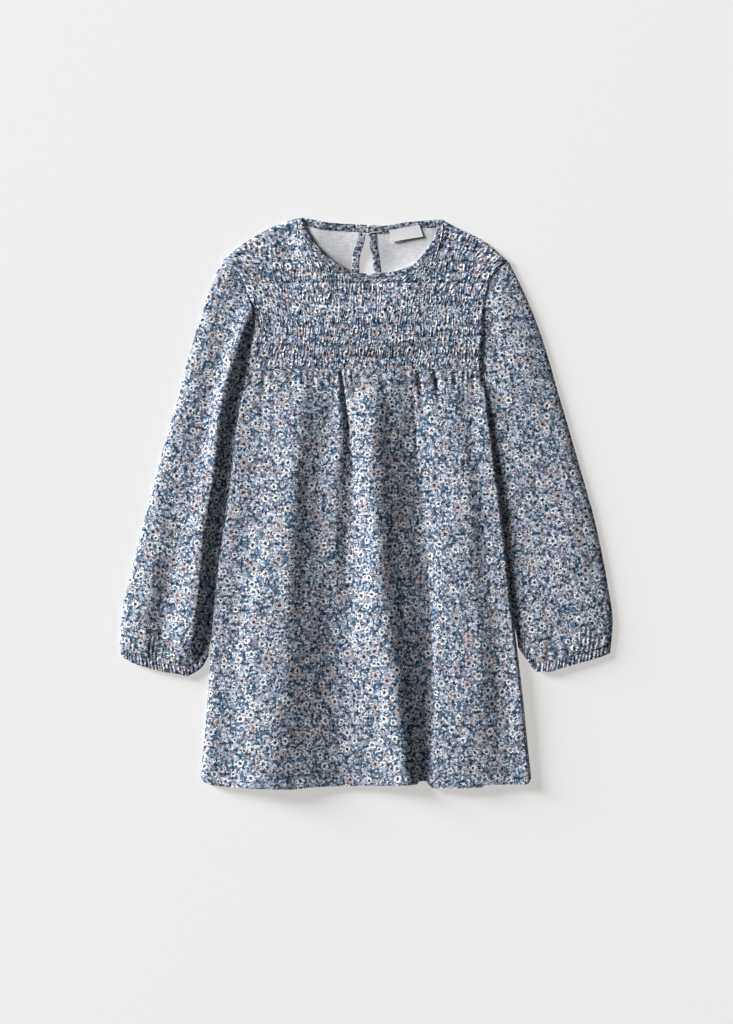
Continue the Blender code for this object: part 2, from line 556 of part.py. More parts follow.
def make_sleeve(name, armhole, outer_edge, inner_edge, seam, folds, armhole_side):
    """Long sleeve: a flattened tube from the armhole to the cuff, its folds on the upper face."""
    across = np.linspace(0, 1, 41)
    down = np.array(SLEEVE_STATIONS)
    head = offset(evenly(armhole, 41), armhole_side * ARMHOLE_GAP)[::-1]
    end = evenly(seam, 41)
    first, last = along(outer_edge, down), along(inner_edge, down)
    first[0], last[0] = head[0], head[-1]
    first[-1], last[-1] = end[0], end[-1]
    plan = patch(head, end, first, last, across, down)
    knots_u = np.array([monotone(FOLD_STATIONS, fold[1], down) for fold in folds])
    knots_z = np.array([monotone(FOLD_STATIONS, fold[2], down) for fold in folds])
    between = np.array([0.10, 0.16, 0.23, 0.30, 0.38, 0.46, 0.54, 0.62, 0.70, 0.79, 0.90])

    def tops_at(k, width):
        place = np.concatenate([[0.0], knots_u[:, k], [1.0]])
        height = np.concatenate([[2 * EDGE_ROLL], knots_z[:, k], [2 * EDGE_ROLL]])
        z = monotone(place, height, between)
        return list(zip(between * width, z))

    return flat_tube(name, plan, tops_at, cloth(name, PRINT, 0.85))


def make_cuff(name, seam, edge):
    """Elastic casing at the wrist: a short flattened tube, gathered on its upper face."""
    across = np.linspace(0, 1, 41)
    down = np.array([0.0, 0.5, 1.0])
    start = evenly(seam, 41)
    end = evenly(edge, 41)
    start = start + SEAM_GAP * (end - start) / np.linalg.norm(end - start, axis=1)[:, None]
    start[:, 1] -= 0.15
    plan = patch(start, end, start[0] + down[:, None] * (end[0] - start[0]),
                 start[-1] + down[:, None] * (end[-1] - start[-1]), across, down)
    swell = (0.6, 1.0, 0.4)

    def tops_at(k, width):
        f = np.linspace(0.06, 0.94, 2 * CUFF_GATHERS + 1)
        ripple = np.arange(len(f)) % 2
        z = 2 * EDGE_ROLL + (CUFF_HEIGHT - 2 * EDGE_ROLL) * np.sin(np.pi * f) ** 0.5 - 0.6 * (1 - swell[k])
        return list(zip(f * width, z + CUFF_RISE * ripple * swell[k]))

    return flat_tube(name, plan, tops_at, cloth(name, PRINT, 0.85))


def make_neck_trim():
    """Bindings round the neck and the keyhole, each a folded strip of the print."""
    strip("neck_binding_front", evenly(NECK_FRONT, 2 * GATHERS_UNDER_NECK + 1, 0.5), FRONT_BINDING_WIDTH,
          FRONT_BINDING_BASE, FRONT_BINDING_THICK, cloth("neck_binding_front", PRINT, 0.85))
    strip("neck_binding_back_left", evenly(NECK_BACK_L, 13), BACK_BINDING_WIDTH, 0.0,
          BINDING_THICK, cloth("neck_binding_back_left", PRINT, 0.85), lifted=True)
    strip("neck_binding_back_right", evenly(NECK_BACK_R, 13), BACK_BINDING_WIDTH, 0.0,
          BINDING_THICK, cloth("neck_binding_back_right", PRINT, 0.85), lifted=True)
    strip("keyhole_binding", evenly(KEYHOLE, 31), KEYHOLE_BINDING_WIDTH, 0.0,
          BINDING_THICK, cloth("keyhole_binding", PRINT, 0.85), lifted=True)


def make_label():
    """Plain woven label on the right back neck, made from the back's points and moved up."""
    a, b, c, d = (np.array(p) for p in LABEL_CORNERS)
    u = np.linspace(0, 1, 7)[None, :, None]
    v = np.linspace(0, 1, 4)[:, None, None]
    plan = (1 - v) * ((1 - u) * a + u * b) + v * ((1 - u) * d + u * c)
    low = neck_lift(plan) + BINDING_THICK + SEAM_GAP + 0.9 * v[..., 0] ** 2
    return shell("label", np.dstack([plan, low + LABEL_THICK]), np.dstack([plan, low]),
                 cloth("label", BARE_WHITE, 0.7))


def make_closure():
    """Button under the right back neck and the cord loop that holds it from the left."""
    top = NECK_LIFT - SEAM_GAP
    face_radius = BUTTON_RADIUS - BUTTON_SOFT_EDGE
    profile = ((0.0, 0.0), (face_radius, 0.0), (BUTTON_RADIUS, BUTTON_SOFT_EDGE),
               (BUTTON_RADIUS, BUTTON_THICK - BUTTON_SOFT_EDGE), (face_radius, BUTTON_THICK),
               (SHANK_RADIUS, BUTTON_THICK), (SHANK_RADIUS, top), (0.0, top))
    lathe("button", profile, 24, (BUTTON_X, BUTTON_Y), cloth("button", HORN, 0.4))
    turn = np.radians(np.linspace(-90, 90, 13))
    bow = np.column_stack([BUTTON_X + LOOP_RADIUS * np.cos(turn), BUTTON_Y + LOOP_RADIUS * np.sin(turn)])
    legs = np.linspace(LOOP_ROOT_X, BUTTON_X - 1.2, 5)
    lower = np.column_stack([legs, np.full(5, BUTTON_Y - LOOP_RADIUS)])
    upper = np.column_stack([legs[::-1], np.full(5, BUTTON_Y + LOOP_RADIUS)])
    path = np.concatenate([lower, bow, upper])
    middle_z = np.minimum((BUTTON_THICK + NECK_LIFT) / 2, neck_lift(path) - SEAM_GAP - CORD_RADIUS)
    angle = np.linspace(0, 2 * np.pi, 8, endpoint=False)
    rings = []
    for a in angle:
        plan = offset(path, CORD_RADIUS * np.cos(a))
        rings.append(np.column_stack([plan, middle_z + CORD_RADIUS * np.sin(a)]))
    rings = np.stack(rings, axis=1)
    rows, columns = rings.shape[:2]
    faces = grid_faces(rows, columns, close=True)
    faces.append(list(range(columns)))
    faces.append(list(range((rows - 1) * columns, rows * columns)))
    add_object("button_loop", rings.reshape(-1, 3), faces, cloth("button_loop", PRINT, 0.6))


def centre_on_origin():
    """Move every piece together, so that the dress's bounding box is centred over the origin."""
    corners = np.array([vertex.co for item in bpy.data.objects for vertex in item.data.vertices])
    low, high = corners.min(axis=0), corners.max(axis=0)
    shift = np.array([-(low[0] + high[0]) / 2, -(low[1] + high[1]) / 2, -low[2]])
    for item in bpy.data.objects:
        for vertex in item.data.vertices:
            vertex.co = vertex.co + Vector(shift)
    return (high - low) * 1000, shift * 1000


start_clean()
make_back()
make_front_yoke()
make_front_skirt()
inner_left = beside_skirt(0, -BESIDE_GAP, UNDERARM_CORNER_L, CUFF_L_SEAM[-1])
inner_right = beside_skirt(-1, BESIDE_GAP, UNDERARM_CORNER_R, CUFF_R_SEAM[0])
make_sleeve("sleeve_left", ARMHOLE_L, SLEEVE_L_OUTER, inner_left, CUFF_L_SEAM, SLEEVE_L_FOLDS, -1)
make_sleeve("sleeve_right", ARMHOLE_R, SLEEVE_R_OUTER, inner_right, CUFF_R_SEAM[::-1], SLEEVE_R_FOLDS, 1)
make_cuff("cuff_left", CUFF_L_SEAM, CUFF_L_EDGE)
make_cuff("cuff_right", CUFF_R_SEAM, CUFF_R_EDGE)
make_neck_trim()
make_label()
make_closure()
size, shift = centre_on_origin()
print("size in millimetres", size.round(1), "moved by", shift.round(2))
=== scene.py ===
# %% [markdown]
# # A ruched jersey dress, laid flat
# The dress is a child's long-sleeved one. Its bodice is shirred with rows of elastic thread,
# and its skirt falls from the last row in loose folds. It lies face up on a pale floor.
# Each piece of cloth is a thin surface worked out with numpy in millimetres, in the plan of the
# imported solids, and the print and the knit are made with shader nodes.

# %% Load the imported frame
import bpy
import bmesh
import numpy as np
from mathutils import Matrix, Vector
from mathutils.geometry import delaunay_2d_cdt


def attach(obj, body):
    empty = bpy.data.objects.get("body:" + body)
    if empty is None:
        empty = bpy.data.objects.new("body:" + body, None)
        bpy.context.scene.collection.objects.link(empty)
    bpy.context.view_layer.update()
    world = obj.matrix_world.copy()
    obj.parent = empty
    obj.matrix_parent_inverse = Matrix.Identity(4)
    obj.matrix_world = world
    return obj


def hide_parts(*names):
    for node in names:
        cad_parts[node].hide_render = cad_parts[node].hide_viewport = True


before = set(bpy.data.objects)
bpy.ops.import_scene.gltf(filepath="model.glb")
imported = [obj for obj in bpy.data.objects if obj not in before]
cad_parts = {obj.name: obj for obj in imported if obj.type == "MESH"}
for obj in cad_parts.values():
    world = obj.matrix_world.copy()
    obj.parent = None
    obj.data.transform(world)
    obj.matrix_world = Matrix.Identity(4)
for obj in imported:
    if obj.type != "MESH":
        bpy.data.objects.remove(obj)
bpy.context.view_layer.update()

print("solids in the frame:", sorted(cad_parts))

# %% [markdown]
# The sizes are the real ones, in millimetres. The cloth is a jersey of about 0.9 mm with its nap.
# The plan is drawn about a point near the middle of the photo, and the frame's origin is the middle
# of the solids, so every plan point moves by the same small shift.

# %% Sizes and the shift to the frame
MM = 0.001
SHIFT = np.array([3.45, -0.22, 0.0])
CLOTH, WALL, EDGE_ROLL = 0.9, 1.6, 2.1
EDGE_TOP = 2 * EDGE_ROLL
SLEEVE_LENGTH, ARMHOLE_LENGTH, UNDER_SKIRT = 430.0, 150.0, 0.6
YOKE_BOTTOM_Y, YOKE_TOP_ROW_Y, SKIRT_TOP_Y = 142.8, 233.7, 142.7
ROW_PITCH = 11.3
GATHERS = 84
BUTTON = np.array([4.6, 290.2])
NECK_LIFT, LIFT_FLAT, LIFT_REACH = 4.5, 9.0, 57.0
FRONT_BINDING, BACK_BINDING, KEYHOLE_BINDING = 6.9, 8.4, 8.0

# %% [markdown]
# A few small functions do the geometry: a smooth curve that never overshoots its points, points
# spread along a curve, a parallel curve, a plan patch ruled between four edges, a smooth step and a
# soft irregular field. Seams on real patterns are drawn the same way, with a few points and a smooth
# line through them. The last two functions say how high the back neck stands.

# %% Curves, parallels and patches
def monotone(x, y, at):
    """Cubic curve through (x, y) whose slopes are the harmonic means of its neighbours' slopes."""
    x, y = np.asarray(x, float), np.asarray(y, float)
    step = np.diff(x)
    rise = np.diff(y) / step
    slope = np.zeros_like(y)
    same = rise[:-1] * rise[1:] > 0
    near, far = 2 * step[1:] + step[:-1], step[1:] + 2 * step[:-1]
    weight = near / np.where(same, rise[:-1], 1.0) + far / np.where(same, rise[1:], 1.0)
    slope[1:-1] = np.where(same, (near + far) / weight, 0.0)
    slope[0], slope[-1] = rise[0], rise[-1]
    at = np.clip(at, x[0], x[-1])
    k = np.clip(np.searchsorted(x, at) - 1, 0, len(step) - 1)
    s = (at - x[k]) / step[k]
    return (y[k] * (1 + 2 * s) * (1 - s) ** 2 + step[k] * slope[k] * s * (1 - s) ** 2
            + y[k + 1] * s * s * (3 - 2 * s) + step[k] * slope[k + 1] * s * s * (s - 1))


def run_along(points):
    """Distance run at each point of a plan line: the sum of the straight steps before it."""
    return np.concatenate([[0.0], np.cumsum(np.hypot(*np.diff(points, axis=0).T))])


def along(points, fractions, by_x=0.0):
    """Points at fractions of a smooth curve's length; by_x mixes in evenness of X."""
    points = np.asarray(points, float)
    chord = run_along(points)
    fine_t = np.linspace(0.0, chord[-1], 1500)
    fine = np.column_stack([monotone(chord, points[:, k], fine_t) for k in (0, 1)])
    measure = run_along(fine)
    measure /= measure[-1]
    if by_x:
        measure = (1 - by_x) * measure + by_x * (fine[:, 0] - fine[0, 0]) / (fine[-1, 0] - fine[0, 0])
    return np.column_stack([np.interp(fractions, measure, fine[:, k]) for k in (0, 1)])


def evenly(points, count, by_x=0.0):
    """A count of points spread evenly along the smooth curve."""
    return along(points, np.linspace(0.0, 1.0, count), by_x)


def offset(curve, distance):
    """The curve moved to its right: each point plus distance (one, or one a point) times its normal."""
    tangent = np.gradient(curve, axis=0)
    tangent /= np.linalg.norm(tangent, axis=1)[:, None]
    normal = np.column_stack([tangent[:, 1], -tangent[:, 0]])
    return curve + np.broadcast_to(distance, len(curve))[:, None] * normal


def patch(start, end, first, last, across, down, hold=1):
    """Ruled points between start and end, plus the side curves' strays, which fade as u to hold."""
    u, v = across[None, :, None], down[:, None, None]
    ruled = (1 - v) * start[None] + v * end[None]
    return (ruled + (1 - u) ** hold * (first[:, None] - ruled[:, :1])
            + u ** hold * (last[:, None] - ruled[:, -1:]))


def smooth(x):
    """Smooth step from 0 to 1, three x squared minus two x cubed."""
    x = np.clip(x, 0.0, 1.0)
    return x * x * (3 - 2 * x)


def uneven(x, y, seed, count=9):
    """Soft irregular field between about -1 and 1: the mean of sines in seeded directions."""
    pick = np.random.default_rng(seed)
    a, b, c = pick.normal(size=count), pick.normal(size=count), pick.uniform(0, 6.28, count)
    waves = np.sin(a * np.asarray(x)[..., None] + b * np.asarray(y)[..., None] + c)
    return waves.sum(-1) / np.sqrt(count)


def neck_lift(points):
    """Height of the back neck over the button beneath it, a flat top with a smooth skirt."""
    reach = np.hypot(points[..., 0] - BUTTON[0], points[..., 1] - BUTTON[1])
    return NECK_LIFT * (1 - smooth((reach - LIFT_FLAT) / (LIFT_REACH - LIFT_FLAT)))


def neck_lean(points):
    """Height that the back neck gains toward its ends, most on the left, under the front."""
    x, y = points[..., 0], points[..., 1]
    left = 5.2 * smooth((-12 - x) / 44) * smooth((80 + x) / 22)
    right = 3.0 * smooth((x - 20) / 36) * smooth((84 - x) / 22)
    return (left + right) * smooth((y - 225) / 20)


def back_height(points):
    """Height that the back neck gains in all."""
    return neck_lift(points) + neck_lean(points)


# %% [markdown]
# The pattern pieces. Each outline is a short row of points that a smooth line runs through, as on a
# paper pattern. Skirt and sleeve folds are tables with a row for each fold line: its name, where it
# lies at each station down the piece, and how high the cloth stands there. A skirt fold's place is
# X in millimetres, and a sleeve fold's is its share of the way from the outer to the inner edge.

# %% Outlines of the pattern pieces
ARMHOLE_L = ((-130.9, 141.5), (-126.1, 162.7), (-123.0, 183.9), (-124.6, 205.1),
             (-130.9, 224.2), (-137.3, 240.1), (-145.8, 250.7), (-157.4, 256.0))
ARMHOLE_R = ((121.4, 141.5), (120.3, 162.7), (121.4, 183.9), (123.5, 210.4),
             (127.7, 230.6), (135.2, 245.4), (147.9, 256.0))
SHOULDER_L = ((-157.4, 256.0), (-137.3, 272.9), (-119.2, 284.6), (-98.1, 295.2), (-77.8, 302.3))
SHOULDER_R = ((78.7, 300.2), (87.5, 295.2), (109.7, 284.6), (127.7, 274.0), (138.3, 264.5),
              (147.9, 256.0))
NECK_FRONT = ((-70.5, 302.8), (-69.4, 294.2), (-63.1, 283.6), (-52.5, 269.8), (-40.8, 259.2),
              (-27.0, 250.7), (-10.1, 244.3), (5.8, 244.3), (26.0, 246.5), (37.6, 249.6),
              (47.7, 254.9), (56.7, 264.5), (64.1, 275.1), (70.5, 286.7), (71.5, 301.0))
NECK_BACK_L = ((-70.5, 303.0), (-41.9, 297.9), (-13.2, 296.0), (-2.8, 295.2))
NECK_BACK_R = ((-1.4, 294.7), (11.1, 294.3), (22.8, 295.4), (37.6, 298.0), (71.5, 301.2))
KEYHOLE = ((-3.8, 285.9), (-6.4, 272.9), (-9.4, 264.5), (-10.7, 251.8), (-10.6, 240.1),
           (-8.0, 230.6), (-3.2, 226.3), (1.6, 230.6), (4.2, 240.1), (4.1, 247.5),
           (2.4, 264.5), (0.0, 272.9), (-0.6, 285.4))
HEM = ((-179.1, -290.5), (-176.0, -294.4), (-164.8, -298.9), (-141.5, -300.5), (-110.8, -302.1),
       (-83.2, -302.6), (-62.0, -300.5), (-22.8, -299.4), (50.4, -297.3), (53.0, -294.2),
       (59.9, -294.2), (63.1, -298.4), (67.3, -301.6), (92.8, -301.6), (119.2, -300.5),
       (123.5, -297.9), (167.0, -297.3), (171.7, -291.0))
LABEL_CORNERS = ((21.2, 289.5), (52.9, 295.2), (56.9, 282.9), (22.6, 277.2))
SLEEVE_L_OUTER = ((-157.4, 256.0), (-171.2, 221.0), (-185.0, 178.6), (-203.0, 115.0), (-222.1, 46.1),
                  (-240.1, -22.8), (-254.4, -79.0), (-263.9, -125.6), (-264.7, -150.0))
SLEEVE_R_OUTER = ((147.9, 256.0), (164.8, 221.0), (181.8, 178.6), (200.9, 115.0), (221.0, 46.1),
                  (240.1, -22.8), (252.8, -86.4), (258.1, -125.6), (256.5, -147.9))
CUFF_L_SEAM = ((-264.7, -150.0), (-250.7, -157.4), (-232.7, -163.8), (-203.0, -171.2),
               (-182.9, -167.0), (-170.0, -153.2))
CUFF_L_EDGE = ((-263.6, -161.7), (-250.7, -169.1), (-238.0, -173.3), (-219.4, -178.2), (-203.0, -180.7),
               (-194.5, -182.9), (-186.0, -179.7), (-177.5, -173.3), (-170.6, -161.7))
CUFF_R_SEAM = ((156.6, -142.6), (170.1, -157.4), (181.8, -167.0), (201.9, -163.8),
               (228.4, -157.4), (256.5, -147.9))
CUFF_R_EDGE = ((157.6, -152.2), (167.0, -165.9), (178.1, -178.2), (188.2, -178.6), (204.6, -174.4),
               (223.1, -169.1), (242.2, -163.8), (255.4, -158.6))

# %% Folds, a row for each fold line
SKIRT_STATIONS = (0.0, 0.144, 0.288, 0.456, 0.6, 0.79, 1.0)
SKIRT_FOLDS = (
    ("left edge", (-130.9, -142.0, -149.4, -159.6, -166.4, -171.6, -179.1), (3.5,) * 7),
    ("left roll", (-126.4, -138.5, -145.9, -156.1, -162.9, -168.1, -175.4),
     (4.8, 6.6, 7.2, 7.4, 7.4, 7.2, 6.8)),
    ("left flank", (-114.0, -115.0, -125.6, -130.9, -140.5, -143.6, -146.8),
     (5.6, 7.8, 8.8, 9.2, 9.2, 9.6, 9.8)),
    ("left slope", (-99.1, -97.0, -103.4, -108.7, -117.1, -119.2, -124.6),
     (6.2, 9.6, 12.2, 13.8, 15.0, 15.6, 15.6)),
    ("left ridge", (-73.7, -74.7, -81.1, -85.3, -89.6, -94.9, -103.4),
     (6.8, 13.0, 16.0, 17.4, 18.0, 18.0, 17.4)),
    ("left fall", (-56.7, -58.8, -64.1, -66.2, -68.4, -66.2, -69.4),
     (6.2, 10.2, 11.6, 12.0, 12.6, 12.6, 12.8)),
    ("left valley", (-41.9, -41.9, -52.5, -48.2, -37.6, -32.3, -29.2),
     (5.6, 8.2, 10.0, 9.2, 7.2, 6.8, 6.6)),
    ("inner ridge", (-30.2, -30.2, -36.6, -37.6, -31.3, -27.0, -22.8),
     (6.2, 9.6, 11.2, 9.6, 7.4, 6.9, 6.8)),
    ("crease", (-23.9, -21.7, -19.6, -24.9, -24.9, -21.7, -16.4), (5.8, 7.6, 8.0, 7.4, 7.6, 7.2, 7.2)),
    ("middle slope", (-11.1, -10.1, -9.0, -8.0, -5.8, 2.7, 15.4),
     (6.4, 10.2, 11.4, 11.8, 12.2, 12.4, 11.4)),
    ("middle ridge", (0.5, 3.7, 5.8, 10.1, 16.4, 28.1, 38.7), (7.0, 13.4, 16.0, 17.4, 18.0, 18.2, 16.0)),
    ("pleat fall", (18.5, 23.5, 29.0, 35.0, 40.5, 47.0, 51.0), (6.2, 8.2, 9.0, 9.8, 10.2, 10.2, 10.0)),
    ("pleat", (45.1, 49.0, 54.0, 60.6, 65.2, 66.2, 62.2), (5.0, 3.8, 3.6, 3.5, 3.5, 3.5, 4.0)),
    ("pleat wall", (64.1, 65.2, 70.5, 71.5, 73.7, 71.5, 69.4), (5.4, 6.6, 7.6, 7.8, 7.8, 7.8, 7.8)),
    ("right ridge", (88.5, 95.0, 101.5, 106.5, 111.5, 118.0, 121.0),
     (6.6, 9.6, 11.4, 12.2, 12.4, 12.2, 11.6)),
    ("right flank", (104.4, 110.5, 118.0, 125.5, 132.0, 144.5, 151.0),
     (6.0, 8.0, 8.8, 9.0, 9.0, 8.4, 8.2)),
    ("right roll", (118.8, 126.2, 134.9, 143.3, 150.0, 160.0, 168.8),
     (7.4, 9.2, 10.0, 10.2, 10.2, 9.8, 9.0)),
    ("right edge", (121.4, 128.9, 137.6, 146.0, 152.7, 162.7, 171.7), (3.5,) * 7),
)
# X at the seam, lean, length, half width, depth
SEAM_CREASES = (
    (-113.0, 0.10, 30.0, 2.4, 2.2), (-102.0, -0.05, 16.0, 2.0, 1.8), (-83.0, 0.05, 22.0, 2.4, 2.0),
    (-60.0, 0.02, 18.0, 2.2, 1.6), (13.3, 0.10, 24.0, 2.2, 1.6), (38.7, 0.12, 26.0, 2.0, 1.8),
    (51.0, 0.16, 48.0, 1.9, 3.2), (68.5, 0.14, 40.0, 1.7, 3.0), (90.6, 0.05, 20.0, 2.4, 1.6),
    (108.0, 0.05, 16.0, 2.2, 1.4), (-30.5, 0.12, 110.0, 1.3, 4.0),
)
FOLD_STATIONS = (0.0, 0.08, 0.25, 0.5, 0.75, 0.92, 1.0)
SLEEVE_L_FOLDS = (
    ("outer roll", (0.10,) * 7, (5.8, 6.4, 6.8, 7.2, 7.8, 7.8, 6.8)),
    ("outer ridge", (0.20, 0.20, 0.20, 0.20, 0.24, 0.26, 0.26), (6.0, 6.8, 7.2, 7.6, 9.2, 9.6, 8.0)),
    ("valley", (0.32, 0.32, 0.34, 0.42, 0.42, 0.44, 0.46), (5.9, 6.8, 7.2, 7.8, 7.6, 7.2, 6.8)),
    ("ridge", (0.50, 0.50, 0.52, 0.73, 0.78, 0.74, 0.68), (9.0, 12.0, 12.8, 13.8, 14.8, 13.4, 8.0)),
    ("inner slope", (0.74, 0.76, 0.83, 0.93, 0.94, 0.93, 0.92), (4.5, 4.5, 4.7, 4.5, 4.5, 4.5, 4.5)),
)
SLEEVE_R_FOLDS = (
    ("outer roll", (0.08,) * 7, (5.6, 6.0, 6.2, 6.4, 6.6, 6.6, 6.4)),
    ("outer ridge", (0.28,) * 7, (5.6, 6.6, 7.0, 7.3, 7.6, 7.6, 7.0)),
    ("valley", (0.50, 0.50, 0.50, 0.50, 0.48, 0.46, 0.46), (5.4, 6.2, 6.8, 7.0, 7.0, 6.6, 6.4)),
    ("ridge", (0.72, 0.72, 0.72, 0.72, 0.72, 0.70, 0.70), (5.0, 5.6, 6.0, 6.3, 6.5, 6.2, 6.0)),
    ("inner slope", (0.91,) * 7, (4.3,) * 7),
)

# %% [markdown]
# Camera, floor and light come before the cloth. The camera looks straight down through a long lens,
# so the dress shows with almost no perspective. The light is a large soft one from the upper left,
# low enough for every fold to have a lit side and a dark side. The floor is matt paper with a faint
# glow of its own, which keeps it pale and even and its shadows soft.

# %% Camera, light and floor
def colour(code):
    """Linear red, green, blue and 1 from an sRGB code such as 8899aa."""
    c = np.array([int(code[k:k + 2], 16) for k in (0, 2, 4)]) / 255
    return tuple(np.where(c <= 0.04045, c / 12.92, ((c + 0.055) / 1.055) ** 2.4)) + (1.0,)


def add(tree, kind, links=None, **settings):
    """Add one shader node: links go from input name or number to a socket or a value."""
    node = tree.nodes.new("ShaderNode" + kind)
    for key, value in settings.items():
        setattr(node, key, value)
    for key, value in (links or {}).items():
        if isinstance(value, bpy.types.NodeSocket):
            tree.links.new(value, node.inputs[key])
        else:
            node.inputs[key].default_value = value
    return node


def math(tree, operation, a, b=0.0, c=0.0):
    """Result of one Math node."""
    return add(tree, "Math", {0: a, 1: b, 2: c}, operation=operation).outputs[0]


def times(tree, a, b):
    """Product of two values."""
    return math(tree, "MULTIPLY", a, b)


def minus(tree, a, b):
    """First value less the second."""
    return math(tree, "SUBTRACT", a, b)


def new_material(name):
    """A material with a Principled shader, its node tree and that shader."""
    material = bpy.data.materials.new(name)
    material.use_nodes = True
    material.node_tree.nodes.clear()
    tree = material.node_tree
    shader = add(tree, "BsdfPrincipled")
    add(tree, "OutputMaterial", {"Surface": shader.outputs[0]})
    return material, tree, shader


FRAME_HIGH = 1024 * 1.06 * MM
CAMERA_HIGH = 4.0
scene = bpy.context.scene
scene.view_settings.view_transform = "Standard"
lens = bpy.data.cameras.new("camera")
lens.sensor_width = 36.0
lens.lens = lens.sensor_width * CAMERA_HIGH / FRAME_HIGH
lens.clip_end = 20.0
camera = bpy.data.objects.new("camera", lens)
camera.location = (0.0003, -0.0092, CAMERA_HIGH + 0.005)
scene.collection.objects.link(camera)
scene.camera = camera

key = bpy.data.lights.new("window_light", "AREA")
key.shape, key.size, key.size_y = "RECTANGLE", 8.5, 15.0
key.energy = 21600.0
key.color = (0.985, 0.99, 1.0)
key_object = bpy.data.objects.new("window_light", key)
LIGHT_FAR, LIGHT_UP, LIGHT_ROUND = 30.0, np.radians(18.0), np.radians(153.0)
key_object.location = LIGHT_FAR * Vector((np.cos(LIGHT_UP) * np.cos(LIGHT_ROUND),
                                          np.cos(LIGHT_UP) * np.sin(LIGHT_ROUND), np.sin(LIGHT_UP)))
key_object.rotation_euler = (-key_object.location).to_track_quat("-Z", "Y").to_euler()
scene.collection.objects.link(key_object)

world = bpy.data.worlds.new("studio")
scene.world = world
world.use_nodes = True
sky = world.node_tree.nodes["Background"]
sky.inputs["Color"].default_value = (0.96, 0.98, 1.0, 1.0)
sky.inputs["Strength"].default_value = 0.08

floor_look, tree, shader = new_material("matt white studio paper")
shader.inputs["Base Color"].default_value = (0.42, 0.431, 0.45, 1.0)
shader.inputs["Roughness"].default_value = 0.9
shader.inputs["Specular IOR Level"].default_value = 0.1
shader.inputs["Emission Color"].default_value = (1.0, 0.976, 0.94, 1.0)
shader.inputs["Emission Strength"].default_value = 0.51
mesh = bpy.data.meshes.new("floor")
mesh.from_pydata([(-4, -4, 0), (4, -4, 0), (4, 4, 0), (-4, 4, 0)], [], [(0, 1, 2, 3)])
mesh.materials.append(floor_look)
floor = bpy.data.objects.new("floor", mesh)
scene.collection.objects.link(floor)

# %% [markdown]
# The print is a ditsy floral: small open flowers of about 8 mm, a second size of about 5 mm, and
# specks, over a mottled slate ground. Each layer takes the cells of a Voronoi texture as its
# flowers, and turns the distance and the angle from a cell's centre into petals. The ground has the
# fine cross streaks of a marl yarn, which tell the eye that this is a knit and not a woven cloth.

# %% Print and cloth materials
TURN = 6.2832


def cloth_place(tree):
    """Place on the flat cloth in millimetres, from the piece's own UV map."""
    uv = add(tree, "UVMap", uv_map="cloth").outputs[0]
    return add(tree, "VectorMath", {0: uv, "Scale": 1000.0}, operation="SCALE").outputs[0]


def ramp(tree, value, low, high, to_low=0.0, to_high=1.0):
    """Smooth step of a value from one range to another."""
    links = {"Value": value, "From Min": low, "From Max": high, "To Min": to_low, "To Max": to_high}
    return add(tree, "MapRange", links, interpolation_type="SMOOTHSTEP").outputs[0]


def mix(tree, share, a, b):
    """Colour between a and b, by share."""
    node = add(tree, "Mix", {"Factor": share}, data_type="RGBA")
    for socket, value in ((node.inputs[6], a), (node.inputs[7], b)):
        if isinstance(value, bpy.types.NodeSocket):
            tree.links.new(value, socket)
        else:
            socket.default_value = value
    return node.outputs[2]


def noise(tree, place, size, stretch=(1.0, 1.0, 1.0), detail=2.0, seed=0.0):
    """Noise whose main blobs are about size millimetres across, stretched along U or V."""
    scale = tuple(s / size for s in stretch)
    moved = add(tree, "VectorMath", {0: place, 1: scale, 2: (seed, seed * 0.7, 0.0)},
                operation="MULTIPLY_ADD")
    links = {"Vector": moved.outputs[0], "Scale": 1.0, "Detail": detail, "Roughness": 0.6}
    return add(tree, "TexNoise", links, noise_dimensions="2D").outputs[0]


def flowers(tree, place, spacing, radius, petals, seed, share=1.0):
    """Masks of one layer of flowers: petals, heart and disc, and the three chances of each cell.

    The angle from the cell's centre is folded into one petal's share of the turn. A petal is the
    round spot about a point two thirds of the way out, and noise makes its edge uneven.
    """
    moved = add(tree, "VectorMath", {0: place, 1: (1 / spacing,) * 3, 2: (seed, seed * 1.7, 0)},
                operation="MULTIPLY_ADD").outputs[0]
    cell = add(tree, "TexVoronoi", {"Vector": moved, "Scale": 1.0, "Randomness": 0.85},
               voronoi_dimensions="2D")
    away = add(tree, "VectorMath", {0: moved, 1: cell.outputs["Position"]},
               operation="SUBTRACT").outputs[0]
    part = add(tree, "SeparateXYZ", {0: away})
    chance = add(tree, "SeparateColor", {0: cell.outputs["Color"]}).outputs
    far = times(tree, add(tree, "VectorMath", {0: away}, operation="LENGTH").outputs["Value"], spacing)
    ragged = noise(tree, place, 2.2, detail=1.0, seed=seed)
    far = math(tree, "MULTIPLY_ADD", ragged, 2.2, minus(tree, far, 1.1))
    turn = math(tree, "ARCTAN2", part.outputs[1], part.outputs[0])
    turn = math(tree, "MULTIPLY_ADD", turn, petals / TURN, chance[1])
    turn = times(tree, minus(tree, math(tree, "FRACT", turn), 0.5), TURN / petals)
    size = math(tree, "MULTIPLY_ADD", chance[0], 0.45 * radius, 0.75 * radius)
    out = math(tree, "MULTIPLY_ADD", size, -0.67, times(tree, far, math(tree, "COSINE", turn)))
    aside = times(tree, far, math(tree, "SINE", turn))
    reach = math(tree, "SQRT", math(tree, "ADD", times(tree, out, out), times(tree, aside, aside)))
    shown = math(tree, "LESS_THAN", chance[2], share)
    petal = ramp(tree, minus(tree, times(tree, size, 0.31), reach), -0.22, 0.28)
    disc = ramp(tree, minus(tree, times(tree, size, 0.95), far), -0.3, 0.3)
    heart = ramp(tree, minus(tree, times(tree, size, 0.40), far), -0.3, 0.3)
    petal, disc, heart = (times(tree, mask, shown) for mask in (petal, disc, heart))
    return petal, heart, disc, chance


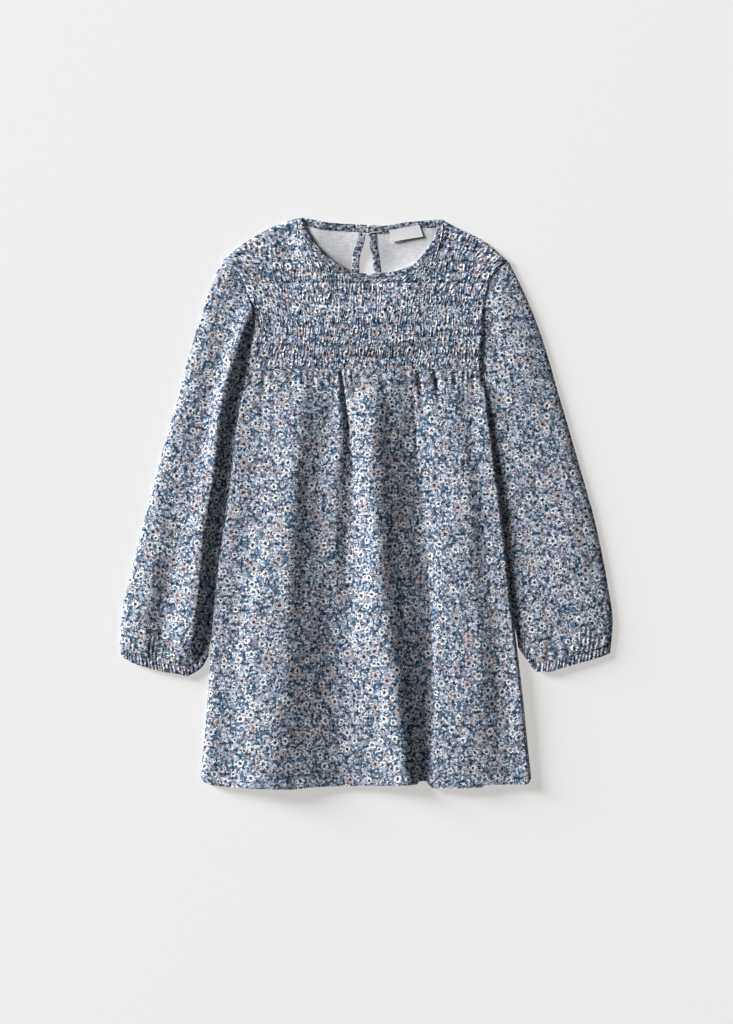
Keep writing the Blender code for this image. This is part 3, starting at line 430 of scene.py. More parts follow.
def printed(tree, place, tone):
    """Colour of the print: mottled ground, blue flowers, specks, then two sizes of white flower."""
    ground = mix(tree, ramp(tree, noise(tree, place, 10.0, detail=2.5, seed=3.1), 0.41, 0.59),
                 colour("4c667d"), colour("aab3c3"))
    warm = ramp(tree, noise(tree, place, 14.0, seed=23.0), 0.50, 0.60)
    ground = mix(tree, times(tree, warm, 0.7), ground, colour("857d85"))
    blue = flowers(tree, place, 8.6, 3.2, 5, 41.3, 0.45)
    ground = mix(tree, times(tree, blue[2], 0.85), ground, colour("3a5a78"))
    ground = mix(tree, times(tree, blue[1], 0.6), ground, colour("7b95ad"))
    light = ramp(tree, noise(tree, place, 3.4, detail=1.5, seed=8.8), 0.53, 0.62)
    ground = mix(tree, times(tree, light, 0.85), ground, colour("dfe4ec"))
    dark = ramp(tree, noise(tree, place, 3.7, detail=1.5, seed=17.0), 0.47, 0.38)
    ground = mix(tree, times(tree, dark, 0.92), ground, colour("17202e"))
    small = flowers(tree, place, 8.8, 2.6, 6, 12.9, 0.42)
    large = flowers(tree, place, 13.0, 4.1, 7, 5.3, 0.6)
    fleck = noise(tree, place, 2.0, detail=1.0, seed=31.0)
    worn = ramp(tree, noise(tree, place, 2.4, detail=1.0, seed=47.0), 0.38, 0.54)
    for petal, heart, disc, chance in (small, large):
        white = mix(tree, ramp(tree, chance[0], 0.75, 0.85), colour("f4f5f7"), colour("cdbfc0"))
        core = mix(tree, ramp(tree, chance[1], 0.78, 0.84), colour("231f25"), colour("705650"))
        core = mix(tree, ramp(tree, fleck, 0.56, 0.68), core, colour("a39da1"))
        ground = mix(tree, times(tree, disc, 0.6), ground, colour("2f3a4c"))
        ground = mix(tree, times(tree, petal, math(tree, "MULTIPLY_ADD", worn, 0.6, 0.38)), ground, white)
        ground = mix(tree, times(tree, heart, 0.92), ground, core)
    broken = noise(tree, place, 1.5, stretch=(1.0, 0.7, 1.0), detail=1.0, seed=61.0)
    broken = ramp(tree, broken, 0.60, 0.68)
    ground = mix(tree, times(tree, broken, 0.5), ground, colour("344355"))
    # tone scales the whole print's brightness: above one it is painted light, below one painted shade.
    streak = noise(tree, place, 1.1, stretch=(0.15, 1.0, 1.0), detail=2.0, seed=2.0)
    streak = ramp(tree, streak, 0.30, 0.70, 0.87 * tone, 1.47 * tone)
    shade = add(tree, "CombineColor", {0: streak, 1: streak, 2: streak}).outputs[0]
    node = add(tree, "Mix", {"Factor": 1.0, 6: ground, 7: shade}, data_type="RGBA", blend_type="MULTIPLY")
    return node.outputs[2]


def knit_bump(tree, place, shader, depth):
    """Columns of 0.7 mm stitches: the product of two sines, one across and one along."""
    part = add(tree, "SeparateXYZ", {0: place})
    column = math(tree, "SINE", times(tree, part.outputs[0], 6.28 / 0.7))
    course = math(tree, "SINE", times(tree, part.outputs[1], 6.28 / 0.5))
    nap = noise(tree, place, 1.5, detail=2.0, seed=6.0)
    height = math(tree, "ADD", times(tree, column, course), nap)
    bump = add(tree, "Bump", {"Height": height, "Strength": depth, "Distance": 0.0002})
    tree.links.new(bump.outputs[0], shader.inputs["Normal"])


def jersey(name, tone=1.0, plain=False):
    """Matt cotton jersey, printed or plain marl; a tone above one is painted light, below one painted
    shade.
    """
    material, tree, shader = new_material(name)
    place = cloth_place(tree)
    if plain:
        streak = noise(tree, place, 1.5, stretch=(0.22, 1.0, 1.0), detail=3.0, seed=4.0)
        marl = mix(tree, ramp(tree, streak, 0.30, 0.62), colour("dddfe3"), colour("f6f6f8"))
        tree.links.new(marl, shader.inputs["Base Color"])
    else:
        tree.links.new(printed(tree, place, tone), shader.inputs["Base Color"])
    shader.inputs["Roughness"].default_value = 0.92
    shader.inputs["Specular IOR Level"].default_value = 0.18
    shader.inputs["Sheen Weight"].default_value = 0.12
    shader.inputs["Sheen Roughness"].default_value = 0.5
    knit_bump(tree, place, shader, 0.35)
    return material


PRINT = jersey("printed cotton jersey, knitted and ditsy printed")
MARL = jersey("marl cotton jersey, its plain inside", plain=True)
# The bodice's copy of the print is made 15 per cent lighter: painted light for the lit sides of its
# gathers.
SHIRRED_PAINTED_LIGHT = jersey("printed cotton jersey, gathered, lightened as painted light", tone=1.15)
# The bindings' copy of the print is made 15 per cent darker: painted shade, as the back neck lies in
# shade.
TRIM_PAINTED_SHADE = jersey("printed jersey, cut as binding, darkened as painted shade", tone=0.85)


def plain_look(name, code, roughness, grain=0.4):
    """A plain surface with fine noise in its colour and bump, in object space."""
    material, tree, shader = new_material(name)
    place = add(tree, "TexCoord").outputs["Object"]
    fine = add(tree, "TexNoise", {"Vector": place, "Scale": 1500.0, "Detail": 3.0}).outputs[0]
    base = np.array(colour(code))
    low = tuple(base[:3] * (1 - 0.25 * grain)) + (1.0,)
    tree.links.new(mix(tree, fine, low, tuple(base)), shader.inputs["Base Color"])
    shader.inputs["Roughness"].default_value = roughness
    bump = add(tree, "Bump", {"Height": fine, "Strength": 0.3 * grain, "Distance": 0.0002})
    tree.links.new(bump.outputs[0], shader.inputs["Normal"])
    return material


THREAD = plain_look("polyester sewing thread, spun", "7d8aa0", 0.7)
PALE_CORD = plain_look("braided elastic cord", "c9cfd8", 0.75)
SATIN = plain_look("woven satin label tape", "f4f4f2", 0.55, grain=0.25)
HORN = plain_look("moulded polyester button", "3a4557", 0.35, grain=0.3)

# %% [markdown]
# Every piece of cloth becomes a mesh in the same way: points, a place on the flat cloth for each of
# them, and mostly a Solidify that gives the jersey its thickness inward. The place on the flat
# cloth is the length along the cloth itself, so the print squeezes together in the gathers and runs
# over the folds as it does on real cloth.

# %% Mesh makers
def lengths(points, axis):
    """Running length along one axis of a grid, from the distances between neighbours."""
    step = np.linalg.norm(np.diff(points, axis=axis), axis=-1)
    pad = np.zeros_like(np.take(step, [0], axis=axis))
    return np.concatenate([pad, np.cumsum(step, axis=axis)], axis=axis)


def cloth_uv(points, across=(1.0, 0.0), sign=1.0):
    """U adds up the steps across and up from the middle column, and V is the place down the cloth."""
    across = np.asarray(across)
    step = np.diff(points, axis=1)
    run = np.cumsum(np.hypot(step[..., :2] @ across, step[..., 2]), axis=1)
    run = np.concatenate([np.zeros((len(points), 1)), run], axis=1)
    middle = points.shape[1] // 2
    u = points[:, middle, :2] @ across
    down = points[..., :2] @ np.array([across[1], -across[0]])
    return np.dstack([u[:, None] + sign * (run - run[:, middle:middle + 1]), down])


def crisp_rims(mesh):
    """Open edges are marked sharp, so that a cut edge doesn't tilt the shading beside it."""
    used = np.empty(len(mesh.loops), int)
    mesh.loops.foreach_get("edge_index", used)
    once = np.bincount(used, minlength=len(mesh.edges)) == 1
    mesh.edges.foreach_set("use_edge_sharp", once)


def thicken(item, thick, rim=1, careful=True):
    """Cloth thickness on the inside of a surface; rim is the material step of its inside and edge."""
    crisp_rims(item.data)
    wall = item.modifiers.new("cloth thickness", "SOLIDIFY")
    wall.thickness, wall.offset = thick * MM, -1.0
    wall.material_offset, wall.material_offset_rim = rim, rim
    wall.use_quality_normals = careful


def face_outward(item, weld=False):
    """Turn all faces of a closed form outward, after joining its seam if weld is set."""
    work = bmesh.new()
    work.from_mesh(item.data)
    if weld:
        bmesh.ops.remove_doubles(work, verts=work.verts, dist=1e-7)
    bmesh.ops.recalc_face_normals(work, faces=work.faces)
    work.to_mesh(item.data)
    work.free()


def make(name, points, faces, places, materials, thick=None, rim=1):
    """Object from points in millimetres, with UV map 'cloth' in metres and optional thickness."""
    mesh = bpy.data.meshes.new(name)
    mesh.from_pydata(((points + SHIFT) * MM).tolist(), [], [list(f) for f in faces])
    layer = mesh.uv_layers.new(name="cloth")
    corner = np.empty(len(mesh.loops), int)
    mesh.loops.foreach_get("vertex_index", corner)
    layer.data.foreach_set("uv", (np.asarray(places)[corner] * MM).astype(np.float32).ravel())
    for material in materials:
        mesh.materials.append(material)
    mesh.shade_smooth()
    item = bpy.data.objects.new(name, mesh)
    scene.collection.objects.link(item)
    if thick:
        thicken(item, thick, rim)
    return item


def grid_faces(rows, columns, close=False):
    """Quads over a grid whose rows run up the page, turned to face up; close joins the columns."""
    span = columns if close else columns - 1
    r, c = np.meshgrid(np.arange(rows - 1), np.arange(span), indexing="ij")
    n = (c + 1) % columns
    low, high = r * columns, (r + 1) * columns
    return np.stack([low + c, low + n, high + n, high + c], axis=-1).reshape(-1, 4)


def flat_area(item):
    """Area of one side of a finished piece in square metres, half of a closed mesh's area."""
    depsgraph = bpy.context.evaluated_depsgraph_get()
    mesh = item.evaluated_get(depsgraph).to_mesh()
    return sum(face.area for face in mesh.polygons) / 2


def seat(item, node, flat=None):
    """Ride on the root, hide the node's solid in its place, and print the cut of the cloth."""
    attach(item, "root")
    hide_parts(node)
    if flat:
        area = min(flat_area(item), flat[0] * flat[1])
        print(item.name, "cut", [round(f / MM) for f in flat], "mm,", round(area, 4), "square metres")


def sides_of(tangent):
    """Unit vectors beside and above each direction of a line."""
    tangent = tangent / np.linalg.norm(tangent, axis=1)[:, None]
    side = np.cross(tangent, [0, 0, 1.0])
    side /= np.linalg.norm(side, axis=1)[:, None]
    return side, np.cross(side, tangent)


def stitches(name, path, length=2.4, gap=0.8, radius=0.28, sink=0.1):
    """Run of thread stitches on a path of 3-D points: each a six-sided grain with tapered ends."""
    run = np.concatenate([[0.0], np.cumsum(np.linalg.norm(np.diff(path, axis=0), axis=1))])
    starts = np.arange(0.5, run[-1] - length, length + gap)
    t = starts[:, None] + length * np.array([0.0, 0.2, 0.8, 1.0])
    centre = np.stack([np.interp(t, run, path[:, k]) for k in range(3)], axis=-1)
    side, up = sides_of(centre[:, -1] - centre[:, 0])
    turn = np.linspace(0, 2 * np.pi, 6, endpoint=False)
    round_off = np.array([0.25, 1.0, 1.0, 0.25])[:, None, None] * radius
    ring = np.cos(turn)[:, None] * side[:, None, None] + np.sin(turn)[:, None] * up[:, None, None]
    points = centre[:, :, None] + round_off * ring
    points[..., 2] += radius - sink
    first = 24 * np.arange(len(starts))[:, None, None]
    faces = (grid_faces(4, 6, close=True)[None] + first).reshape(-1, 4)
    caps = np.array([[5, 4, 3, 2, 1, 0], [18, 19, 20, 21, 22, 23]])
    caps = (caps[None] + first).reshape(-1, 6)
    flat = points.reshape(-1, 3)
    item = make(name, flat, faces.tolist() + caps.tolist(), flat[:, :2], [THREAD])
    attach(item, "root")


# %% [markdown]
# The bodice is shirred: straight rows of elastic thread, 11.3 mm apart, pull the cloth into 84 small
# gathers. Between two rows each gather puffs up, and at a row it is pinched flat. The gathers wander
# a little from row to row, because the elastic gathers the cloth by chance.
# The bodice's print is a lighter copy of the skirt's, painted light for the lit sides of the gathers.

# %% Shirred bodice
def seam_height(x):
    """Height of the cloth at the bodice seam, low at the sides."""
    from_side = np.minimum((x + 131.0) / 18.0, (121.5 - x) / 6.0)
    return 3.6 + 3.0 * smooth(from_side) + 0.35 * uneven(x / 22, 0 * x, 5)


def neck_rise(x):
    """Height that the front neck gains: the left stands higher and throws its shade into the neck."""
    return 4.2 * smooth((12 - x) / 75) + 1.0 * smooth((x - 20) / 30)


def yoke_surface(rows_low=76, rows_top=40, strap=86, neck=226):
    """Outer points of the bodice as a grid, from the seam up to the shoulders and the neck.

    The rows below the neck are straight, and the rows above bend toward the neck's curve. The base
    height is low at the armholes, swells in the middle and rises to the neck. On it stand the
    gathers: a cosine across, times the puff between two rows of elastic, times a height by chance.
    """
    columns = 2 * strap + neck + 1
    across = np.linspace(0, 1, columns)
    level = np.linspace(YOKE_BOTTOM_Y, YOKE_TOP_ROW_Y, rows_low)
    arm_l, arm_r = evenly(ARMHOLE_L, 400), evenly(ARMHOLE_R, 400)
    left, right = (np.interp(level, arm[:, 1], arm[:, 0]) for arm in (arm_l, arm_r))
    lower = np.stack([left[:, None] + across * (right - left)[:, None],
                      np.repeat(level[:, None], columns, axis=1)], axis=-1)
    scoop = offset(evenly(NECK_FRONT, neck + 1, 0.5), FRONT_BINDING - 0.3)
    top = np.concatenate([evenly(SHOULDER_L, strap + 1)[:-1], scoop, evenly(SHOULDER_R, strap + 1)[1:]])
    down = np.linspace(0, 1, rows_top + 1)
    side_l = evenly(arm_l[arm_l[:, 1] > YOKE_TOP_ROW_Y], rows_top + 1)
    side_r = evenly(arm_r[arm_r[:, 1] > YOKE_TOP_ROW_Y], rows_top + 1)
    side_l[0], side_r[0] = lower[-1, 0], lower[-1, -1]
    plan = np.concatenate([lower, patch(lower[-1], top, side_l, side_r, across, down, hold=24)[1:]])
    x, y = plan[..., 0], plan[..., 1]
    u = np.broadcast_to(across, x.shape)
    edge_run = np.minimum(u, 1 - u) * 255.0
    rim = np.minimum(edge_run, np.linalg.norm(plan - plan[-1:], axis=-1))
    outside = np.linalg.norm(plan - plan[-1:], axis=-1) + 99 * (np.abs(x) < 74)
    right_arm = 1.6 * smooth((x - 60) / 30) * smooth((215 - y) / 30)
    base = 4.9 + (1.5 + right_arm) * smooth(np.minimum(edge_run, outside) / 3.5)
    base = base + 0.7 * smooth(rim / 25.0) * uneven(x / 26, y / 40, 31)
    swell = smooth(edge_run / 25) * smooth((y - 143) / 30) * smooth((232 - y) / 40)
    base = base + 2.4 * np.sin(np.pi * u) * swell
    to_neck = np.linalg.norm(plan - plan[-1:], axis=-1) / (24.0 + 20.0 * smooth((np.abs(x) - 15) / 30))
    base = base + (neck_rise(x) - 0.4) * np.exp(-to_neck ** 2) * smooth((88 - np.abs(x)) / 20)
    base = np.where(y < 173, base + (seam_height(x) - base) * smooth((173 - y) / 30), base)
    slant = 0.10 * np.maximum(np.abs(x) - 80, 0) * smooth((y - 235) / 40)
    t = (y + slant - YOKE_BOTTOM_Y) / ROW_PITCH
    row = np.floor(t)
    frac = t - row
    puff = np.sin(np.pi * np.clip(frac, 0, 1)) ** 0.6
    lean = uneven(u * 60, row * 7.3, 33)
    near = uneven(u * 60, (row + np.where(frac > 0.5, 1, -1)) * 7.3, 33)
    mixed = lean + (near - lean) * 0.5 * smooth(np.abs(frac - 0.5) * 2)
    slant = 0.5 * (frac - 0.5) * uneven(u * 50, row * 3.3, 37)
    phase = 2 * np.pi * (GATHERS * u + 0.8 * mixed + slant + 1.1 * uneven(u * 14, t * 0.35, 34))
    wave = 0.5 + 0.5 * np.cos(phase)
    tall = np.clip(1.0 + 0.5 * uneven(u * 230, row * 5.1, 35), 0.3, 2.0)
    fade = smooth(rim / 4.0)
    z = base + fade * (0.62 * tall * wave * (0.25 + 0.75 * puff) + 0.3 * puff - 0.3)
    z -= 0.2 * np.exp(-((frac - np.round(frac)) * ROW_PITCH / 0.7) ** 2) * fade * (np.round(t) > 0)
    z += 0.10 * uneven(x / 1.7, y / 3.0, 36)
    z -= 1.0 * np.exp(-outside / 1.6)
    return np.dstack([x, y, np.maximum(z, 3.4)])


yoke = yoke_surface()
rows, columns = yoke.shape[:2]
run_u = lengths(yoke, 1)
column_u = run_u.mean(0) - run_u.mean(0)[columns // 2]
place = np.dstack([np.broadcast_to(column_u, (rows, columns)), yoke[..., 1]])
bodice = make("bodice_front", yoke.reshape(-1, 3), grid_faces(rows, columns), place.reshape(-1, 2),
              [SHIRRED_PAINTED_LIGHT, MARL], thick=CLOTH)
seat(bodice, "front_yoke", flat=(float(run_u[:, -1].max()) * MM, 0.17))

# %% [markdown]
# The skirt is the largest piece. Its long folds are set at the shirring and open toward the hem. The
# deep pleat right of the middle has a slow left side and a steep right side, so it holds the darkest
# shade. Small gathers released by the last row of elastic die out within a few centimetres.

# %% Front skirt
FOLD_NAMES = [fold[0] for fold in SKIRT_FOLDS]


def skirt_surface(columns=300, rows=150):
    """Outer points of the skirt as a grid: fold heights by smooth curves across, details on top.

    The details are the gathers that the last row of elastic releases, the creases at the seam, soft
    unevenness, the turned hem's step and the sharp bottom of the pleat.
    """
    v = np.linspace(0, 1, rows) ** 1.25
    knots = np.arange(len(SKIRT_FOLDS))
    line_x = np.array([monotone(SKIRT_STATIONS, fold[1], v) for fold in SKIRT_FOLDS])
    line_z = np.array([monotone(SKIRT_STATIONS, fold[2], v) for fold in SKIRT_FOLDS])
    hem = evenly(HEM, 500)
    even = np.linspace(0, 1, columns)
    x, z, y = (np.empty((rows, columns)) for _ in range(3))
    for k in range(rows):
        span = line_x[:, k]
        wide = span[0] + even * (span[-1] - span[0])
        place = np.interp(wide, span, knots)
        x[k] = wide
        z[k] = monotone(span, line_z[:, k], wide)
        y[k] = SKIRT_TOP_Y + v[k] * (np.interp(wide, hem[:, 0], hem[:, 1]) - SKIRT_TOP_Y)
    below = SKIRT_TOP_Y - y
    side = np.minimum(x - x[:, :1], x[:, -1:] - x)
    z = seam_height(x) + (z - seam_height(x)) * smooth(below / 34.0)
    release = smooth(below / 5.0) * np.exp(-below / 13.0) * smooth(side / 12.0)
    ripple = np.sin(2 * np.pi * (x / 8.3 + 1.6 * uneven(x / 17, below / 60, 11)))
    z += release * 0.55 * ripple * (1 + 0.9 * uneven(x / 12, 0 * x, 12))
    for seam_x, lean, length, half_width, depth in SEAM_CREASES:
        line = seam_x + lean * below
        deep = depth * (0.4 + 0.6 * smooth(below / 14)) * smooth(1.25 - below / length)
        z -= deep * np.exp(-((x - line) / (half_width * (1 + below / 60))) ** 2)
    z += 0.45 * smooth(side / 15) * smooth(below / 60) * uneven(x / 17, y / 60, 21)
    z += 0.16 * smooth(side / 8) * uneven(x / 6, y / 17, 22)
    up = y - np.interp(x, hem[:, 0], hem[:, 1])
    z += 0.5 * smooth((11.0 - up) / 1.2) * smooth(side / 5) - 0.35 * np.exp(-((up - 11.2) / 0.8) ** 2)
    z += (np.interp(x, yoke[0, :, 0], yoke[0, :, 2]) - z[:1]) * np.exp(-(below / 4.5) ** 2)
    pleat = line_x[FOLD_NAMES.index("pleat")][:, None]
    z -= 0.8 * smooth(below / 60) * np.exp(-((x - pleat) / 1.5) ** 2)
    return np.dstack([x, y, np.maximum(z, 3.4)])[::-1]


skirt = skirt_surface()
rows, columns = skirt.shape[:2]
front_skirt = make("skirt_front", skirt.reshape(-1, 3), grid_faces(rows, columns),
                   cloth_uv(skirt).reshape(-1, 2), [PRINT, MARL], thick=CLOTH)
cut_wide = float(lengths(skirt, 1)[:, -1].max()) * MM
seat(front_skirt, "front_skirt", flat=(cut_wide * 1.01, 0.46))

# %% [markdown]
# The back is one plain panel with the keyhole slit. Only its inside shows, in the neck, and that is
# the unprinted face of the jersey. The panel is filled with even triangles, its inside face stands
# one cloth above the floor, and it lifts where the button lies beneath it.

# %% Back panel
def skirt_side(which, count=40):
    """Side edge of the skirt, the first or the last fold line of its table."""
    v = np.linspace(0, 1, count)
    x = monotone(SKIRT_STATIONS, SKIRT_FOLDS[which][1], v)
    return np.column_stack([x, 141.5 + v * (HEM[which][1] - 141.5)])


def beside_skirt(which, shift, corner, end):
    """Sleeve edge just under the skirt's side, from the armhole corner to the cuff's end."""
    edge = skirt_side(which, 120) + [shift, 0]
    return np.concatenate([[corner], edge[(edge[:, 1] < 128) & (edge[:, 1] > end[1] + 12)], [end]])


def back_outline():
    """Outline of the back: neck, slit, shoulders, armholes, sides a little inside, and hem."""
    neck_l = offset(evenly(NECK_BACK_L, 24), BACK_BINDING + 0.1)
    neck_r = offset(evenly(NECK_BACK_R, 24), BACK_BINDING + 0.1)
    slit = offset(evenly(KEYHOLE, 61), KEYHOLE_BINDING + 0.1)
    neck_l = neck_l[neck_l[:, 0] < slit[0, 0] - 0.6]
    neck_r = neck_r[neck_r[:, 0] > slit[-1, 0] + 0.6]
    slit[0, 1], slit[-1, 1] = neck_l[-1, 1], neck_r[0, 1]
    return np.concatenate([neck_l, slit, neck_r, evenly(SHOULDER_R, 16), evenly(ARMHOLE_R, 30)[::-1][1:],
                           skirt_side(-1)[1:-1] - [0.7, 0], evenly(HEM, 90)[::-1],
                           skirt_side(0)[::-1][1:-1] + [0.7, 0],
                           evenly(ARMHOLE_L, 30), evenly(SHOULDER_L, 16)[1:]])


def inside(outline, points, margin):
    """Even-odd test of points against an outline, keeping those that are a margin inside it."""
    a, b = outline, np.roll(outline, -1, axis=0)
    p = points[:, None]
    crosses = (a[:, 1] > p[..., 1]) != (b[:, 1] > p[..., 1])
    rise = np.where(b[:, 1] == a[:, 1], 1.0, b[:, 1] - a[:, 1])
    meets = (b[:, 0] - a[:, 0]) * (p[..., 1] - a[:, 1]) / rise + a[:, 0]
    odd = (crosses & (p[..., 0] < meets)).sum(1) % 2 == 1
    t = np.clip(((p - a) * (b - a)).sum(-1) / ((b - a) ** 2).sum(-1), 0, 1)
    return odd & (np.linalg.norm(p - (a + t[..., None] * (b - a)), axis=-1).min(1) > margin)


outline = back_outline()
coarse = np.stack(np.meshgrid(np.arange(-175, 172, 9.0), np.arange(-298, 205, 9.0)), -1)
fine = np.stack(np.meshgrid(np.arange(-80, 82, 3.2), np.arange(206, 300, 3.2)), -1)
coarse, fine = coarse.reshape(-1, 2), fine.reshape(-1, 2)
fill = np.concatenate([coarse[inside(outline, coarse, 4.0)], fine[inside(outline, fine, 1.6)]])
every = [Vector(p) for p in np.concatenate([outline, fill])]
edges = [(i, (i + 1) % len(outline)) for i in range(len(outline))]
result = delaunay_2d_cdt(every, edges, [], 1, 1e-5)
plan = np.array([tuple(p) for p in result[0]])
soft = 0.35 * uneven(plan[:, 0] / 15, plan[:, 1] / 15, 41) * smooth((plan[:, 1] - 215) / 20)
top = WALL + 0.1 + back_height(plan) + np.maximum(soft, -0.2)
back = make("back_panel", np.column_stack([plan, top]), result[2], plan + [0, 500], [MARL, PRINT],
            thick=1.2)
seat(back, "back", flat=(0.352, 0.606))

# %% [markdown]
# The sleeves are full tubes pressed flat. The underside rests on the floor, the edges roll, and the
# upper face carries the folds. At the cuff the elastic draws the fullness into small gathers that
# run a couple of centimetres up the sleeve.

# %% Sleeves
def flat_ring(width, tops, bottom):
    """Ring of a flattened tube: flat underside, half round edges, then the upper face."""
    turn = np.linspace(-np.pi / 2, np.pi / 2, 7)[1:-1]
    near = EDGE_ROLL * np.column_stack([1 - np.cos(turn), 1 + np.sin(turn)])
    far = np.column_stack([width - near[:, 0], near[:, 1]])
    under = np.column_stack([np.linspace(EDGE_ROLL, width - EDGE_ROLL, bottom), np.full(bottom, 0.02)])
    return np.concatenate([under, far, tops[::-1], near[::-1]])


def tube_points(plan, tops_at, bottom=26):
    """Rings over a plan patch: distance across gives X and Y, the ring gives Z."""
    rings = []
    for k, row in enumerate(plan):
        run = run_along(row)
        ring = flat_ring(run[-1], tops_at(k, run[-1]), bottom)
        x, y = (np.interp(ring[:, 0], run, row[:, c]) for c in (0, 1))
        rings.append(np.column_stack([x, y, ring[:, 1]]))
    return np.array(rings)


def closed_tube(name, rings, seed, bottom=26):
    """Tube mesh with its seam in the middle of the underside, and its middle column on top."""
    rings = np.roll(rings, -(bottom // 2), axis=1)
    rings = np.concatenate([rings, rings[:, :1]], axis=1)
    rows, columns = rings.shape[:2]
    centre = rings.mean(axis=1)[:, :2]
    down = centre[-1] - centre[0]
    down /= np.linalg.norm(down)
    across = np.array([-down[1], down[0]])
    top = rings[rows // 2, columns // 2 + 2, :2] - rings[rows // 2, columns // 2 - 2, :2]
    place = cloth_uv(rings, across, float(np.sign(top @ across))) + seed
    faces = grid_faces(rows, columns)
    item = make(name, rings.reshape(-1, 3), faces, place.reshape(-1, 2), [PRINT, MARL])
    face_outward(item, weld=True)
    thicken(item, CLOTH, careful=False)
    return item, float(lengths(rings, 1)[:, -1].max()) * MM, float(lengths(rings, 0)[-1].max()) * MM


def sleeve(name, node, armhole, outer_edge, inner_edge, seam, folds, side, seed):
    """A sleeve from the armhole to the cuff, with the fold heights of its table.

    Under the arm the armhole runs straight on into the sleeve's inner edge, so the rows of the patch
    are pushed outward there: by the product of the distances from the corner over their sum.
    """
    across = np.linspace(0, 1, 61)
    down = np.linspace(0, 1, 150) ** 0.97
    head = offset(evenly(armhole, 61), side * 0.1)[::-1]
    end = evenly(seam, 61)
    first, last = along(outer_edge, down), along(inner_edge, down)
    first[0], last[0], first[-1], last[-1] = head[0], head[-1], end[0], end[-1]
    plan = patch(head, end, first, last, across, down)
    up_arm, down_side = (1 - across) * ARMHOLE_LENGTH, down[:, None] * SLEEVE_LENGTH
    bulge = up_arm * down_side / (up_arm + down_side + 1e-6) * np.exp(-(up_arm + down_side) / 45.0)
    plan[..., 0] += side * bulge
    knots_u = np.array([monotone(FOLD_STATIONS, fold[1], down) for fold in folds])
    knots_z = np.array([monotone(FOLD_STATIONS, fold[2], down) for fold in folds])

    def tops_at(k, width):
        """Upper face of one ring: folds from the table, gathers near the cuff, soft unevenness."""
        f = np.linspace(0, 1, 96)
        d = EDGE_ROLL + f * (width - EDGE_TOP)
        place = np.concatenate([[0.0], knots_u[:, k], [1.0]])
        height = np.concatenate([[EDGE_TOP], knots_z[:, k], [EDGE_TOP]])
        z = monotone(place, height, d / width)
        left = (1 - down[k]) * SLEEVE_LENGTH
        soft = smooth(np.minimum(f, 1 - f) / 0.12)
        gather = np.exp(-left / 16.0) * smooth((left + 2.0) / 5.0)
        wander = 0.9 * uneven(f * 12, left / 30 + 0 * f, seed)
        z = z + soft * gather * 0.8 * np.sin(2 * np.pi * (d / 7.2 + wander))
        away = smooth((SLEEVE_LENGTH - left) / 30)
        z = z + soft * 0.5 * uneven(d / 15, left / 55 + 0 * f, seed + 1) * away
        z = z + soft * 0.16 * uneven(d / 6, left / 13 + 0 * f, seed + 2)
        return np.column_stack([d, np.maximum(z, EDGE_TOP)])

    item, wide, long = closed_tube(name, tube_points(plan, tops_at), 2000.0 + 300 * seed)
    seat(item, node, flat=(wide * 1.01, long * 1.01))


inner_l = beside_skirt(0, UNDER_SKIRT, (-131.5, 141.0), CUFF_L_SEAM[-1])
inner_r = beside_skirt(-1, -UNDER_SKIRT, (122.0, 141.0), CUFF_R_SEAM[0])
sleeve("sleeve_cloth_left", "sleeve_left", ARMHOLE_L, SLEEVE_L_OUTER, inner_l, CUFF_L_SEAM,
       SLEEVE_L_FOLDS, side=-1, seed=3)
sleeve("sleeve_cloth_right", "sleeve_right", ARMHOLE_R, SLEEVE_R_OUTER, inner_r, CUFF_R_SEAM[::-1],
       SLEEVE_R_FOLDS, side=1, seed=7)

# %% [markdown]
# The cuffs are narrow casings with flat elastic inside. The cloth is longer than the elastic, so it
# ruffles in short upright gathers.

# %% Cuffs
def cuff(name, node, seam, edge, seed, gathers=27):
    """A short flattened tube with gathers that swell between its two edges."""
    across = np.linspace(0, 1, 161)
    down = np.linspace(0, 1, 13)
    start, end = evenly(seam, 161), evenly(edge, 161)
    start = start + 0.3 * (end - start) / np.linalg.norm(end - start, axis=1)[:, None]
    plan = patch(start, end, start[0] + down[:, None] * (end[0] - start[0]),
                 start[-1] + down[:, None] * (end[-1] - start[-1]), across, down)

    def tops_at(k, width):
        """Upper face of one ring: a rounded back with a cosine of gathers on it."""
        f = np.linspace(0, 1, 220)
        d = EDGE_ROLL + f * (width - EDGE_TOP)
        swell = 0.35 + 0.65 * np.sin(np.pi * down[k]) ** 0.6
        phase = 2 * np.pi * (gathers * f + 0.4 * uneven(f * 30, 0 * f, seed))
        soft = smooth(np.minimum(f, 1 - f) / 0.04)
        z = EDGE_TOP + 2.6 * np.sin(np.pi * f) ** 0.5
        z = z + soft * (0.7 * swell * (0.5 + 0.5 * np.cos(phase)) - 0.3)
        z = z + soft * (0.6 * swell - 0.5) + soft * 0.12 * uneven(d / 2, 0 * f + down[k] * 3, seed + 1)
        return np.column_stack([d, np.maximum(z, EDGE_TOP)])

    rings = tube_points(plan, tops_at, bottom=60)
    item, wide, long = closed_tube(name, rings, 4000.0 + 200 * seed)
    seat(item, node, flat=(wide * 1.01, long * 1.02))


cuff("cuff_cloth_left", "cuff_left", CUFF_L_SEAM, CUFF_L_EDGE, 51)
cuff("cuff_cloth_right", "cuff_right", CUFF_R_SEAM, CUFF_R_EDGE, 57)

# %% [markdown]
# The neck and the keyhole are bound with strips of the print, folded over the raw edge. A binding is
# a soft flat roll: its section is a rounded ribbon, and it puckers a little where it turns.
# The strips carry a darker copy of the print: painted shade, as the back neck lies in shade.

# %% Bindings
def front_height(plan):
    """Height that the front neck gains, fading out at the shoulders as the bodice's does."""
    return neck_rise(plan[:, 0]) * smooth((88 - np.abs(plan[:, 0])) / 20)


